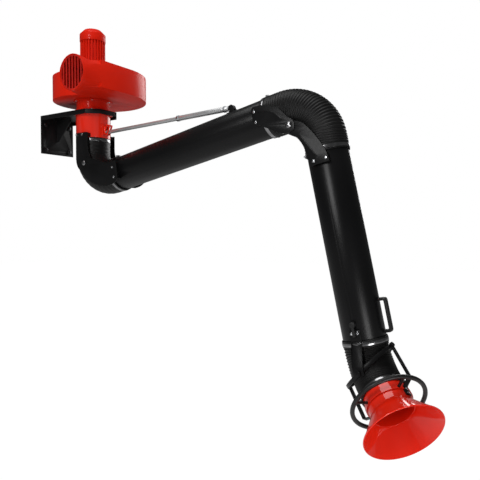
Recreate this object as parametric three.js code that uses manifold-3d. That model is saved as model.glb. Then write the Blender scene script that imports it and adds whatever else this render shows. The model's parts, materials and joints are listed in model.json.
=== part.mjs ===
// Wall mounted fume extraction arm: a centrifugal fan on a steel bracket, a swivelling collar,
// two duct tubes joined by flexible hoses and hinge plates, a gas spring and a bell mouth hood.
// Millimetres, Z up, X away from the wall. The origin is the middle of the wall plate's back face.
import * as THREE from 'three';
import { mergeVertices } from 'three/addons/utils/BufferGeometryUtils.js';
import Module from 'manifold-3d';

const wasm = await Module();
wasm.setup();

// General fits
const CLEAR = 0.3;
const TUBE_R = 80;
const TUBE_WALL = 2;
const ROUND = 24;
const TUBE_ROUND = 40;
const CUT_ROUND = 80;
const SMALL_ROUND = 14;
const HOSE_ROUND = 24;

// Wall bracket
const WALL_PLATE_T = 5;
const WALL_PLATE_H = 195;
const BRACKET_HALF_W = 103;
const AXIS_X = 285;
const SHELF_T = 5;
const SHELF_TOP = WALL_PLATE_H / 2;
const SHELF_UNDER = SHELF_TOP - SHELF_T;
const NOSE_REACH = 113;
const NOSE_FRONT_HALF = 52;
const NOSE_SIDE_X = 60;
const LIP_H = 18;
const LIP_T = 3;
const SHELF_HOLE_R = 80;
const GUSSET_T = 6;
const GUSSET_L = 105;
const GUSSET_H = 120;
const WALL_BOLT_Y = 75;
const WALL_BOLT_Z_TOP = 55;
const WALL_BOLT_Z_LOW = -75;
const WALL_BOLT_R = 5;
const WALL_BOLT_HEAD_R = 9;
const WALL_BOLT_HEAD_H = 7;

// Fan neck, scroll housing and outlet
const NECK_R = 82;
const NECK_WALL = 3;
const NECK_FLANGE_R = 97;
const NECK_FLANGE_T = 4;
const SCROLL_Z0 = 151;
const SCROLL_H = 120;
const SCROLL_Z1 = SCROLL_Z0 + SCROLL_H;
const SCROLL_WALL = 3;
const SCROLL_R_END = 281;
const SCROLL_GROWTH_PER_DEG = 0.375;
const SCROLL_TONGUE_DEG = 293;
const SCROLL_STEP_DEG = 8;
const OUTLET_INNER_X = 85;
const OUTLET_RECT_Y = -200;
const OUTLET_TRANSITION = 62;
const OUTLET_STUB = 26;
const OUTLET_R = 82;
const OUTLET_X = (OUTLET_INNER_X + SCROLL_R_END) / 2;
const OUTLET_Z = SCROLL_Z0 + SCROLL_H / 2;
const INLET_HOLE_R = 78;
const MOTOR_HOLE_R = 32;
const GRILLE_BARS = 7;
const GRILLE_BAR_W = 6;
const GRILLE_T = 5;
const GRILLE_RIM = 5;

// Motor and the turning parts
const MOTOR_CORE_R = 53;
const MOTOR_FIN_R = 62;
const MOTOR_FINS = 26;
const MOTOR_FLANGE_R = 74;
const MOTOR_FLANGE_T = 9;
const MOTOR_BODY_TOP = 452;
const COWL_R = 64;
const COWL_WALL = 2.5;
const COWL_TOP = 511;
const COWL_CHAMFER = 22;
const COWL_VENT_R = 26;
const BOX_L = 42;
const BOX_W = 66;
const BOX_H = 50;
const SHAFT_R = 9;
const IMPELLER_R = 148;
const IMPELLER_PLATE_T = 4;
const IMPELLER_H = 78;
const IMPELLER_EYE_R = 82;
const IMPELLER_BLADES = 9;
const IMPELLER_BLADE_T = 4;
const IMPELLER_HUB_R = 24;
const COOLING_R = 50;
const COOLING_BLADES = 6;
const COOLING_BLADE_H = 18;

// Swivel collar
const COLLAR_R = 85.5;
const COLLAR_WALL = 3.5;
const COLLAR_FLANGE_R = 97;
const COLLAR_FLANGE_T = 5;
const COLLAR_TOP = 89;
const COLLAR_LOW = -36;
const SPIGOT_LEN = 26;
const SLIDE_RING_IN = 84;
const CLIP_W = 24;
const CLIP_HOOK = 5;
const CLIP_OUT_R = 106;

// Hoses
const CUFF_LEN = 26;
const CUFF_R = 84;
const HOSE_BORE_R = 81;
const HOSE_ROOT_R = 82.4;
const HOSE_CREST_R = 85;
const ELBOW_RIBS = 34;
const HOOD_RIBS_UPPER = 6;
const HOOD_RIBS_LOWER = 9;
const HOOD_BEND_R = 170;
const HOOD_HOSE_SPLIT = 0.45;
const CLAMP_W = 13;
const CLAMP_T = 1.4;
const CLAMP_SEAT_L = 18;
const CLAMP_SEAT_H = 7;

// Shoulder hinge
const SHOULDER_X = AXIS_X + 38;
const SHOULDER_Z = -167;
const SHOULDER_BEND_R = 125;
const STRAP_GAP = 1.5;
const STRAP_IN = Math.max(COLLAR_R, CUFF_R + CLAMP_T) + STRAP_GAP;
const STRAP_T = 4;
const STRAP_TOP = -15;
const STRAP_X0 = AXIS_X - 26;
const STRAP_X1 = AXIS_X + 58;
const STRAP_END_R = 44;
const CHEEK_IN = STRAP_IN + STRAP_T + 0.4;
const CHEEK_T = 4;
const PIVOT_R = 6;
const PIVOT_HEAD_R = 12;
const PIVOT_HEAD_H = 9;

// Upper tube
const UPPER_ANGLE = THREE.MathUtils.degToRad(12.16);
const UPPER_ORIGIN_Z = -263;
const UPPER_START = 188;
const UPPER_LENGTH_TO_CORNER = 1280;
const ELBOW_BEND_R = 148;
const UPPER_HOSE_SETBACK = 217;
const UPPER_HOSE_AT = UPPER_LENGTH_TO_CORNER - UPPER_HOSE_SETBACK;
const UPPER_END = UPPER_HOSE_AT + CUFF_LEN;
const SHOULDER_HOSE_END = UPPER_START + CUFF_LEN;
const CHEEK_PAD_S0 = 218;
const CHEEK_PAD_S1 = 268;

// Elbow hinge, measured from the corner where the two tube axes meet
const ELBOW_PIVOT_S = -95;
const ELBOW_PIVOT_N = -82;
const ELBOW_IN = 87;
const ELBOW_ARM_T = 4;
const ELBOW_OUT = ELBOW_IN + ELBOW_ARM_T + 0.4;
const ELBOW_BOSS_R = 30;
const ELBOW_PAD_S = 228;
const ELBOW_PAD_HALF = 34;
const ELBOW_PAD_LEN = 30;
const ELBOW_BAND = 34;
const ELBOW_RIB_W = 5;
const ELBOW_RIB_H = 2.5;

// Lower tube
const LOWER_ANGLE = THREE.MathUtils.degToRad(-77.75);
const LOWER_HOSE_AT = 212;
const LOWER_START = LOWER_HOSE_AT - CUFF_LEN;
const LOWER_END = 940;
const HANDLE_S0 = 776;
const HANDLE_S1 = 904;
const HANDLE_OUT = 32;
const HANDLE_BAR = 12;
const HANDLE_W = 20;
const DAMPER_S = 853;
const DAMPER_PLATE_R = 74;
const DAMPER_PLATE_T = 2.5;
const DAMPER_SPINDLE_R = 4;
const DAMPER_KNOB_R = 11;
const DAMPER_KNOB_L = 16;
const DAMPER_LEVER_L = 44;

// Hood joint
const GIMBAL_S = 1020;
const HOOD_TILT = THREE.MathUtils.degToRad(36.15);
const HOOD_ROLL = THREE.MathUtils.degToRad(-35.9);
const RING_IN = 111;
const RING_T = 4;
const RING_W = 14;
const FORK_T = 4;
const FORK_W = 40;
const FORK_IN = RING_IN + RING_T + 1;
const FORK_NOSE = 9;
const FORK_S0 = 874;
const FORK_PAD_S1 = 926;
const PIN_R = 5;
const PIN_HEAD_R = 9;
const PIN_HEAD_H = 6;

// Hood, measured along its own axis from the gimbal centre
const HOOD_NECK_AT = 112;
const HOOD_NECK_R = 80;
const HOOD_WALL = 2.5;
const HOOD_STRAIGHT = 200;
const HOOD_MOUTH_AT = 287;
const HOOD_MOUTH_R = 138;
const HOOD_FLARE_STEPS = 7;
const HOOD_BEAD_R = 2.5;
const BRACKET_T = 4;
const BRACKET_W = 24;
const BRACKET_END_R = 10;
const HANDLE_RING_R = 131;
const HANDLE_RING_ROD = 8;
const HANDLE_RING_AT = 168;
const SPOKE_R = 5;

// Gas spring
const STRUT_COLLAR_X = AXIS_X + 104;
const STRUT_COLLAR_Z = -9;
const STRUT_LUG_X = AXIS_X + 855;
const STRUT_LUG_Z = 24;
const STRUT_CYL_R = 9.3;
const STRUT_BORE_R = 7;
const STRUT_CYL_LEN = 636;
const STRUT_SLEEVE_R = 11.8;
const STRUT_SLEEVE_IN_R = 9.8;
const STRUT_SLEEVE_AT = 452;
const STRUT_CAP_AT = 722;
const STRUT_ROD_R = 4;
const STRUT_ROD_AT = 300;
const STRUT_EYE_R = 9;
const STRUT_EYE_W = 10;
const STRUT_PIN_R = 4;
const STRUT_PIN_L = 30;
const SLOT_ANGLE = THREE.MathUtils.degToRad(70.46);
const SLOT_TRAVEL = 25.5;
const SLOT_HALF_W = STRUT_PIN_R + 3;
const CLEVIS_IN = 6;
const CLEVIS_T = 4;
const CLEVIS_MARGIN = 6;
const LUG_IN = 6;
const LUG_T = 4;
const LUG_R = 13;

// Colours
const RED = { color: 0xb9121b, roughness: 0.32, metalness: 0.0 };
const BLACK = { color: 0x161718, roughness: 0.42, metalness: 0.0 };
const RUBBER = { color: 0x101010, roughness: 0.75, metalness: 0.0 };
const STEEL = { color: 0xb4b6b8, roughness: 0.35, metalness: 0.9 };
const SILVER = { color: 0x9a9c9e, roughness: 0.4, metalness: 0.7 };
const PLASTIC = { color: 0xd8d6cf, roughness: 0.6, metalness: 0.0 };

const UP = new THREE.Vector3(0, 1, 0);
const group = new THREE.Group();
group.name = 'fume_extraction_arm';

// One closed, welded surface from any geometry, as a solid that can be cut and joined
function solid(geometry) {
  let flat = geometry.index ? geometry.toNonIndexed() : geometry.clone();
  for (const key of Object.keys(flat.attributes)) {
    if (key !== 'position') flat.deleteAttribute(key);
  }
  flat = mergeVertices(flat, 1e-4);
  const source = flat.index.array;
  const keep = [];
  for (let i = 0; i < source.length; i += 3) {
    const [a, b, c] = [source[i], source[i + 1], source[i + 2]];
    if (a !== b && b !== c && a !== c) keep.push(a, b, c);
  }
  const mesh = new wasm.Mesh({
    numProp: 3,
    vertProperties: new Float32Array(flat.attributes.position.array),
    triVerts: new Uint32Array(keep),
  });
  return new wasm.Manifold(mesh);
}

function add(name, body, look) {
  const mesh = body.getMesh();
  const geometry = new THREE.BufferGeometry();
  geometry.setAttribute('position', new THREE.BufferAttribute(new Float32Array(mesh.vertProperties),
    3));
  geometry.setIndex(new THREE.BufferAttribute(new Uint32Array(mesh.triVerts), 1));
  const flat = geometry.toNonIndexed();
  flat.computeVertexNormals();
  const piece = new THREE.Mesh(flat, new THREE.MeshStandardMaterial(look));
  piece.name = name;
  group.add(piece);
}

function join(...bodies) {
  return bodies.reduce((a, b) => a.add(b));
}

// A frame in the arm's upright plane: x along the given direction, y across, z square to both
function planeFrame(x, z, angle) {
  const along = new THREE.Vector3(Math.cos(angle), 0, Math.sin(angle));
  const square = new THREE.Vector3(-Math.sin(angle), 0, Math.cos(angle));
  return new THREE.Matrix4().makeBasis(along, UP, square).setPosition(x, 0, z);
}

function placed(geometry, frame) {
  return solid(frame ? geometry.applyMatrix4(frame) : geometry);
}

// Revolved section about local X, Y or Z, given as closed pairs of radius and height
function revolve(pairs, axis, frame, steps = ROUND) {
  const points = pairs.map(([r, h]) => new THREE.Vector2(r, h));
  points.push(points[0].clone());
  const geometry = new THREE.LatheGeometry(points, steps);
  if (axis === 'x') geometry.rotateZ(-Math.PI / 2);
  if (axis === 'z') geometry.rotateX(Math.PI / 2);
  const body = placed(geometry, frame);
  return body;
}

function pipe(outer, inner, from, to, axis, frame, steps = ROUND) {
  return revolve([[inner, from], [outer, from], [outer, to], [inner, to]], axis, frame, steps);
}

function rod(radius, from, to, axis, at, frame, steps = SMALL_ROUND) {
  const geometry = new THREE.CylinderGeometry(radius, radius, to - from, steps);
  geometry.translate(0, (from + to) / 2, 0);
  if (axis === 'x') geometry.rotateZ(-Math.PI / 2);
  if (axis === 'z') geometry.rotateX(Math.PI / 2);
  geometry.translate(at[0], at[1], at[2]);
  return placed(geometry, frame);
}

function block(x0, x1, y0, y1, z0, z1, frame) {
  const geometry = new THREE.BoxGeometry(x1 - x0, y1 - y0, z1 - z0);
  geometry.translate((x0 + x1) / 2, (y0 + y1) / 2, (z0 + z1) / 2);
  return placed(geometry, frame);
}

// Flat plate drawn in the local XZ plane, between two y values
function plateXZ(shape, y0, y1, frame) {
  const geometry = new THREE.ExtrudeGeometry(shape, { depth: y1 - y0, bevelEnabled: false,
    curveSegments: 6 });
  geometry.rotateX(Math.PI / 2);
  geometry.translate(0, y1, 0);
  return placed(geometry, frame);
}

// Flat plate drawn in the local XY plane, between two z values
function plateXY(shape, z0, z1, frame) {
  const geometry = new THREE.ExtrudeGeometry(shape, { depth: z1 - z0, bevelEnabled: false,
    curveSegments: 8 });
  geometry.translate(0, 0, z0);
  return placed(geometry, frame);
}

function outline(points) {
  return new THREE.Shape(points.map(([x, y]) => new THREE.Vector2(x, y)));
}

// Both sides of the arm: the near side is at negative y
const SIDES = [['near', -1], ['far', 1]];

function sideSpan(side, inner, outer) {
  return side < 0 ? [-outer, -inner] : [inner, outer];
}

// Frames of the arm at rest
const axisFrame = new THREE.Matrix4().makeTranslation(AXIS_X, 0, 0);
const upperFrame = planeFrame(AXIS_X, UPPER_ORIGIN_Z, UPPER_ANGLE);
const corner = new THREE.Vector3(UPPER_LENGTH_TO_CORNER, 0, 0).applyMatrix4(upperFrame);
const elbowUpperFrame = planeFrame(corner.x, corner.z, UPPER_ANGLE);
const lowerFrame = planeFrame(corner.x, corner.z, LOWER_ANGLE);
const gimbal = new THREE.Vector3(GIMBAL_S, 0, 0).applyMatrix4(lowerFrame);
const ringFrame = planeFrame(gimbal.x, gimbal.z, LOWER_ANGLE + HOOD_TILT);
const hoodFrame = ringFrame.clone().multiply(new THREE.Matrix4().makeRotationZ(HOOD_ROLL));

// Wall bracket: plate, shelf with chamfered nose, lip and gusset, welded into one piece
const shelfEdge = (inset) => outline([
  [0, -BRACKET_HALF_W + inset],
  [AXIS_X + NOSE_SIDE_X - inset * 0.4, -BRACKET_HALF_W + inset],
  [AXIS_X + NOSE_REACH - inset, -NOSE_FRONT_HALF + inset * 0.4],
  [AXIS_X + NOSE_REACH - inset, NOSE_FRONT_HALF - inset * 0.4],
  [AXIS_X + NOSE_SIDE_X - inset * 0.4, BRACKET_HALF_W - inset],
  [0, BRACKET_HALF_W - inset],
]);
const wallPlate = block(0, WALL_PLATE_T, -BRACKET_HALF_W, BRACKET_HALF_W, -SHELF_TOP, SHELF_TOP);
const shelf = plateXY(shelfEdge(0), SHELF_UNDER, SHELF_TOP);
const lip = plateXY(shelfEdge(0), SHELF_UNDER - LIP_H, SHELF_UNDER + 1)
  .subtract(plateXY(shelfEdge(LIP_T), SHELF_UNDER - LIP_H - 1, SHELF_UNDER + 2));
const gusset = plateXZ(outline([
  [WALL_PLATE_T - 1, SHELF_UNDER + 1],
  [WALL_PLATE_T - 1, SHELF_UNDER - GUSSET_H],
  [WALL_PLATE_T + 12, SHELF_UNDER - GUSSET_H],
  [WALL_PLATE_T + GUSSET_L, SHELF_UNDER - 20],
  [WALL_PLATE_T + GUSSET_L, SHELF_UNDER + 1],
]), -GUSSET_T / 2, GUSSET_T / 2);
let bracket = join(wallPlate, shelf, lip, gusset)
  .subtract(rod(SHELF_HOLE_R, SHELF_UNDER - 2, SHELF_TOP + 2, 'z', [AXIS_X, 0, 0], null, ROUND));
let boltCount = 0;
for (const [, side] of SIDES) {
  for (const z of [WALL_BOLT_Z_TOP, WALL_BOLT_Z_LOW]) {
    boltCount += 1;
    const at = [0, side * WALL_BOLT_Y, z];
    bracket = bracket.subtract(rod(WALL_BOLT_R + CLEAR, -1, WALL_PLATE_T + 1, 'x', at));
    const shank = rod(WALL_BOLT_R, 0.2, WALL_PLATE_T + 1, 'x', at);
    const headFrom = WALL_PLATE_T + 0.1;
    const washer = rod(WALL_BOLT_HEAD_R + 3, headFrom, headFrom + 2, 'x', at);
    const head = rod(WALL_BOLT_HEAD_R, headFrom + 1, headFrom + 1 + WALL_BOLT_HEAD_H, 'x', at, null, 6);
    add(`wall_bolt_${boltCount}`, join(shank, washer, head), STEEL);
  }
}
add('wall_bracket', bracket, BLACK);

// Neck between shelf and scroll, flanged at both ends
const neckLow = SHELF_TOP + 0.2;
const neckHigh = SCROLL_Z0 - 0.2;
add('fan_neck', revolve([
  [NECK_R - NECK_WALL, neckLow],
  [NECK_FLANGE_R, neckLow],
  [NECK_FLANGE_R, neckLow + NECK_FLANGE_T],
  [NECK_R, neckLow + NECK_FLANGE_T],
  [NECK_R, neckHigh - NECK_FLANGE_T],
  [NECK_FLANGE_R, neckHigh - NECK_FLANGE_T],
  [NECK_FLANGE_R, neckHigh],
  [NECK_R - NECK_WALL, neckHigh],
], 'z', axisFrame), RED);

// Scroll housing: a spiral that grows towards the outlet, then a rectangle turning round
function scrollShape(inset) {
  const points = [];
  for (let deg = 0; deg < SCROLL_TONGUE_DEG; deg += SCROLL_STEP_DEG) {
    const r = SCROLL_R_END - SCROLL_GROWTH_PER_DEG * deg - inset;
    const a = THREE.MathUtils.degToRad(deg);
    points.push([r * Math.cos(a), r * Math.sin(a)]);
  }
  const tongue = THREE.MathUtils.degToRad(SCROLL_TONGUE_DEG);
  const tongueR = SCROLL_R_END - SCROLL_GROWTH_PER_DEG * SCROLL_TONGUE_DEG - inset;
  points.push([tongueR * Math.cos(tongue), tongueR * Math.sin(tongue)]);
  points.push([OUTLET_INNER_X + inset, tongueR * Math.sin(tongue) - 4]);
  points.push([OUTLET_INNER_X + inset, OUTLET_RECT_Y - inset * 0.5]);
  points.push([SCROLL_R_END - inset, OUTLET_RECT_Y - inset * 0.5]);
  return outline(points);
}
// Loft from the outlet's rectangle to its circle, shrunk by the sheet's thickness for the inside
function outletLoft(inset, overrun) {
  const count = ROUND;
  const halfW = (SCROLL_R_END - OUTLET_INNER_X) / 2 - inset;
  const halfH = SCROLL_H / 2 - inset;
  const rings = [
    [OUTLET_RECT_Y + 1 + overrun, 0],
    [OUTLET_RECT_Y, 0],
    [OUTLET_RECT_Y - OUTLET_TRANSITION, 1],
    [OUTLET_RECT_Y - OUTLET_TRANSITION - OUTLET_STUB - overrun, 1],
  ];
  const positions = [];
  const index = [];
  for (const [y, roundness] of rings) {
    for (let i = 0; i < count; i += 1) {
      const a = 2 * Math.PI * (i + 0.5) / count;
      const c = Math.cos(a);
      const s = Math.sin(a);
      const reach = Math.min(halfW / Math.abs(c), halfH / Math.abs(s));
      const x = (1 - roundness) * reach * c + roundness * (OUTLET_R - inset) * c;
      const z = (1 - roundness) * reach * s + roundness * (OUTLET_R - inset) * s;
      positions.push(AXIS_X + OUTLET_X + x, y, OUTLET_Z + z);
    }
  }
  for (let k = 0; k < rings.length - 1; k += 1) {
    for (let i = 0; i < count; i += 1) {
      const j = (i + 1) % count;
      const [a, b] = [k * count + i, k * count + j];
      const [c, d] = [a + count, b + count];
      index.push(a, b, c, b, d, c);
    }
  }
  const firstMid = positions.length / 3;
  positions.push(AXIS_X + OUTLET_X, rings[0][0], OUTLET_Z);
  positions.push(AXIS_X + OUTLET_X, rings[3][0], OUTLET_Z);
  for (let i = 0; i < count; i += 1) {
    const j = (i + 1) % count;
    index.push(firstMid, j, i);
    index.push(firstMid + 1, 3 * count + i, 3 * count + j);
  }
  const geometry = new THREE.BufferGeometry();
  geometry.setAttribute('position', new THREE.Float32BufferAttribute(positions, 3));
  geometry.setIndex(index);
  return solid(geometry);
}
const scrollOuter = plateXY(scrollShape(0), SCROLL_Z0, SCROLL_Z1, axisFrame).add(outletLoft(0, 0));
const scrollInner = plateXY(scrollShape(SCROLL_WALL), SCROLL_Z0 + SCROLL_WALL,
  SCROLL_Z1 - SCROLL_WALL, axisFrame)
  .add(outletLoft(SCROLL_WALL, 4));
add('scroll_housing', scrollOuter.subtract(scrollInner)
  .subtract(rod(INLET_HOLE_R, SCROLL_Z0 - 2, SCROLL_Z0 + SCROLL_WALL + 2, 'z', [AXIS_X, 0, 0], null,
    ROUND))
  .subtract(rod(MOTOR_HOLE_R, SCROLL_Z1 - SCROLL_WALL - 2, SCROLL_Z1 + 2, 'z', [AXIS_X, 0, 0], null,
    ROUND)), RED);

// Guard grille pushed into the round outlet stub
const grilleOut = (OUTLET_R - SCROLL_WALL) * Math.cos(Math.PI / ROUND) - CLEAR;
const grilleY = OUTLET_RECT_Y - OUTLET_TRANSITION - OUTLET_STUB + 3;
const grilleFrame = new THREE.Matrix4().makeTranslation(AXIS_X + OUTLET_X, 0, OUTLET_Z);
let grille = pipe(grilleOut, grilleOut - GRILLE_RIM, grilleY, grilleY + 2 * GRILLE_T, 'y', grilleFrame);
for (let i = 0; i < GRILLE_BARS; i += 1) {
  const x = (i - (GRILLE_BARS - 1) / 2) * (2 * grilleOut / (GRILLE_BARS + 1));
  const half = Math.sqrt((grilleOut - 2) ** 2 - (Math.abs(x) + GRILLE_BAR_W / 2) ** 2);
  grille = grille.add(block(x - GRILLE_BAR_W / 2, x + GRILLE_BAR_W / 2, grilleY + 1,
    grilleY + 1 + GRILLE_T,
    -half, half, grilleFrame));
}
add('outlet_grille', grille, RED);

// Motor body with upright cooling fins on a round flange
const finPoints = [];
for (let i = 0; i < MOTOR_FINS; i += 1) {
  const step = 2 * Math.PI / MOTOR_FINS;
  const fin = [[0, MOTOR_CORE_R], [0.5, MOTOR_CORE_R], [0.6, MOTOR_FIN_R], [0.9, MOTOR_FIN_R]];
  for (const [part, r] of fin) {
    const a = (i + part) * step;
    finPoints.push([r * Math.cos(a), r * Math.sin(a)]);
  }
}
const motorFoot = SCROLL_Z1 + 0.2;
const finBody = plateXY(outline(finPoints), motorFoot + MOTOR_FLANGE_T - 1, MOTOR_BODY_TOP, axisFrame);
add('motor_body', join(finBody, rod(MOTOR_FLANGE_R, motorFoot, motorFoot + MOTOR_FLANGE_T, 'z',
  [AXIS_X, 0, 0], null, ROUND))
  .subtract(rod(SHAFT_R + CLEAR, motorFoot - 2, MOTOR_BODY_TOP + 2, 'z', [AXIS_X, 0, 0])), RED);

// Cowl over the motor's own cooling fan, open at the top for air
const cowlLow = MOTOR_BODY_TOP + 0.2;
add('motor_cowl', revolve([
  [COWL_R - COWL_WALL, cowlLow + COWL_WALL],
  [MOTOR_CORE_R, cowlLow + COWL_WALL],
  [MOTOR_CORE_R, cowlLow],
  [COWL_R, cowlLow],
  [COWL_R, COWL_TOP - COWL_CHAMFER],
  [COWL_R - COWL_CHAMFER, COWL_TOP],
  [COWL_VENT_R, COWL_TOP],
  [COWL_VENT_R, COWL_TOP - COWL_WALL],
  [COWL_R - COWL_CHAMFER - 1, COWL_TOP - COWL_WALL],
  [COWL_R - COWL_WALL, COWL_TOP - COWL_CHAMFER - 1],
], 'z', axisFrame), RED);

// Terminal box on the motor's foot, on the room side
const boxX0 = MOTOR_FIN_R + CLEAR;
add('terminal_box', block(boxX0, boxX0 + BOX_L, -BOX_W / 2, BOX_W / 2,
  motorFoot + MOTOR_FLANGE_T + 0.2, motorFoot + MOTOR_FLANGE_T + BOX_H, axisFrame), RED);

// Shaft, impeller and cooling fan turn together
const impellerTop = SCROLL_Z1 - SCROLL_WALL - 9;
const impellerLow = impellerTop - IMPELLER_H;
add('motor_shaft', rod(SHAFT_R, impellerTop - 30, COWL_TOP - COWL_WALL - 10, 'z', [AXIS_X, 0, 0]),
  STEEL);
const backPlate = pipe(IMPELLER_R, SHAFT_R + 0.1, impellerTop - IMPELLER_PLATE_T, impellerTop, 'z',
  axisFrame);
const hub = pipe(IMPELLER_HUB_R, SHAFT_R + 0.1, impellerTop - 30, impellerTop, 'z', axisFrame);
const shroud = pipe(IMPELLER_R, IMPELLER_EYE_R, impellerLow, impellerLow + IMPELLER_PLATE_T, 'z',
  axisFrame);
let impeller = join(backPlate, hub, shroud);
for (let i = 0; i < IMPELLER_BLADES; i += 1) {
  const turn = new THREE.Matrix4().makeRotationZ(2 * Math.PI * i / IMPELLER_BLADES);
  const lean = new THREE.Matrix4().makeRotationZ(THREE.MathUtils.degToRad(-38));
  const out = new THREE.Matrix4().makeTranslation(IMPELLER_EYE_R + 4, 0, 0);
  const bladeFrame = axisFrame.clone().multiply(turn).multiply(out).multiply(lean);
  impeller = impeller.add(block(0, 62, -IMPELLER_BLADE_T / 2, IMPELLER_BLADE_T / 2,
    impellerLow + 1, impellerTop - 1, bladeFrame));
}
add('impeller', impeller, STEEL);
const coolingLow = MOTOR_BODY_TOP + 12;
let cooling = pipe(16, SHAFT_R + 0.1, coolingLow, coolingLow + COOLING_BLADE_H, 'z', axisFrame)
  .add(pipe(COOLING_R, SHAFT_R + 0.1, coolingLow, coolingLow + 3, 'z', axisFrame));
for (let i = 0; i < COOLING_BLADES; i += 1) {
  const turn = new THREE.Matrix4().makeRotationZ(2 * Math.PI * i / COOLING_BLADES);
  cooling = cooling.add(block(14, COOLING_R, -1.5, 1.5, coolingLow + 1, coolingLow + COOLING_BLADE_H,
    axisFrame.clone().multiply(turn)));
}
add('cooling_fan', cooling, BLACK);

// Slide ring and three retaining clips that carry the collar's flange under the shelf
add('slide_ring', pipe(COLLAR_FLANGE_R - 1, SLIDE_RING_IN, COLLAR_TOP + CLEAR, SHELF_UNDER - 0.1,
  'z', axisFrame), PLASTIC);
const clipTop = SHELF_UNDER - 0.1;
const hookTop = COLLAR_TOP - COLLAR_FLANGE_T - CLEAR;
[0, 125, 235].forEach((deg, i) => {
  const turn = axisFrame.clone().multiply(new THREE.Matrix4()
    .makeRotationZ(THREE.MathUtils.degToRad(deg)));
  const stand = block(COLLAR_FLANGE_R + 1.2, CLIP_OUT_R, -CLIP_W / 2, CLIP_W / 2,
    hookTop - CLIP_HOOK, clipTop, turn);
  const hook = block(COLLAR_R + 4, COLLAR_FLANGE_R + 2, -CLIP_W / 2, CLIP_W / 2, hookTop - CLIP_HOOK,
    hookTop, turn);
  add(`swivel_clip_${i + 1}`, join(stand, hook), BLACK);
});

// Swivel collar with its top flange and the spigot that the hose slips over
const spigotLow = COLLAR_LOW - SPIGOT_LEN;
const collarFlangeLow = COLLAR_TOP - COLLAR_FLANGE_T;
add('swivel_collar', revolve([
  [TUBE_R - TUBE_WALL, spigotLow],
  [TUBE_R, spigotLow],
  [TUBE_R, COLLAR_LOW],
  [COLLAR_R, COLLAR_LOW],
  [COLLAR_R, collarFlangeLow],
  [COLLAR_FLANGE_R, collarFlangeLow],
  [COLLAR_FLANGE_R, COLLAR_TOP],
  [COLLAR_R - COLLAR_WALL, COLLAR_TOP],
  [COLLAR_R - COLLAR_WALL, COLLAR_LOW + COLLAR_WALL],
  [TUBE_R - TUBE_WALL, COLLAR_LOW + COLLAR_WALL],
], 'z', axisFrame), RED);

// Hose along a path: straight cuffs, ribs of a crest and a root ring, and a bore with fewer rings
function hose(stations, across, ribs, cuffFrom, cuffTo) {
  const total = stations.length;
  const positions = [];
  const index = [];
  const ringAt = (t, radius) => {
    const f = t * (total - 1);
    const i = Math.min(Math.floor(f), total - 2);
    const mid = stations[i].point.clone().lerp(stations[i + 1].point, f - i);
    const dir = stations[i].dir.clone().lerp(stations[i + 1].dir, f - i).normalize();
    const u = across.clone().addScaledVector(dir, -across.dot(dir)).normalize();
    const v = dir.clone().cross(u);
    const start = positions.length / 3;
    for (let k = 0; k < HOSE_ROUND; k += 1) {
      const a = 2 * Math.PI * k / HOSE_ROUND;
      const p = mid.clone().addScaledVector(u, radius * Math.cos(a)).addScaledVector(v,
        radius * Math.sin(a));
      positions.push(p.x, p.y, p.z);
    }
    return start;
  };
  const outer = [ringAt(0, cuffFrom > 0 ? CUFF_R : HOSE_ROOT_R)];
  if (cuffFrom > 0) outer.push(ringAt(cuffFrom, CUFF_R));
  const span = 1 - cuffFrom - cuffTo;
  for (let i = 0; i < ribs; i += 1) {
    const t = cuffFrom + span * (i + 0.25) / ribs;
    outer.push(ringAt(t, HOSE_ROOT_R));
    outer.push(ringAt(t + 0.5 * span / ribs, HOSE_CREST_R));
  }
  if (cuffTo > 0) outer.push(ringAt(1 - cuffTo, CUFF_R));
  outer.push(ringAt(1, cuffTo > 0 ? CUFF_R : HOSE_ROOT_R));
  const inner = [];
  const boreRings = Math.max(3, Math.ceil(ribs / 3));
  if (cuffFrom > 0) inner.push(ringAt(0, HOSE_BORE_R));
  for (let i = 0; i <= boreRings; i += 1) inner.push(ringAt(cuffFrom + span * i / boreRings,
    HOSE_BORE_R));
  if (cuffTo > 0) inner.push(ringAt(1, HOSE_BORE_R));
  const strip = (a, b, flip) => {
    for (let k = 0; k < HOSE_ROUND; k += 1) {
      const m = (k + 1) % HOSE_ROUND;
      if (flip) index.push(a + k, b + k, a + m, a + m, b + k, b + m);
      else index.push(a + k, a + m, b + k, a + m, b + m, b + k);
    }
  };
  for (let i = 0; i < outer.length - 1; i += 1) strip(outer[i], outer[i + 1], false);
  for (let i = 0; i < inner.length - 1; i += 1) strip(inner[i], inner[i + 1], true);
  strip(inner[0], outer[0], false);
  strip(outer[outer.length - 1], inner[inner.length - 1], false);
  const geometry = new THREE.BufferGeometry();
  geometry.setAttribute('position', new THREE.Float32BufferAttribute(positions, 3));
  geometry.setIndex(index);
  return solid(geometry);
}

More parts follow.
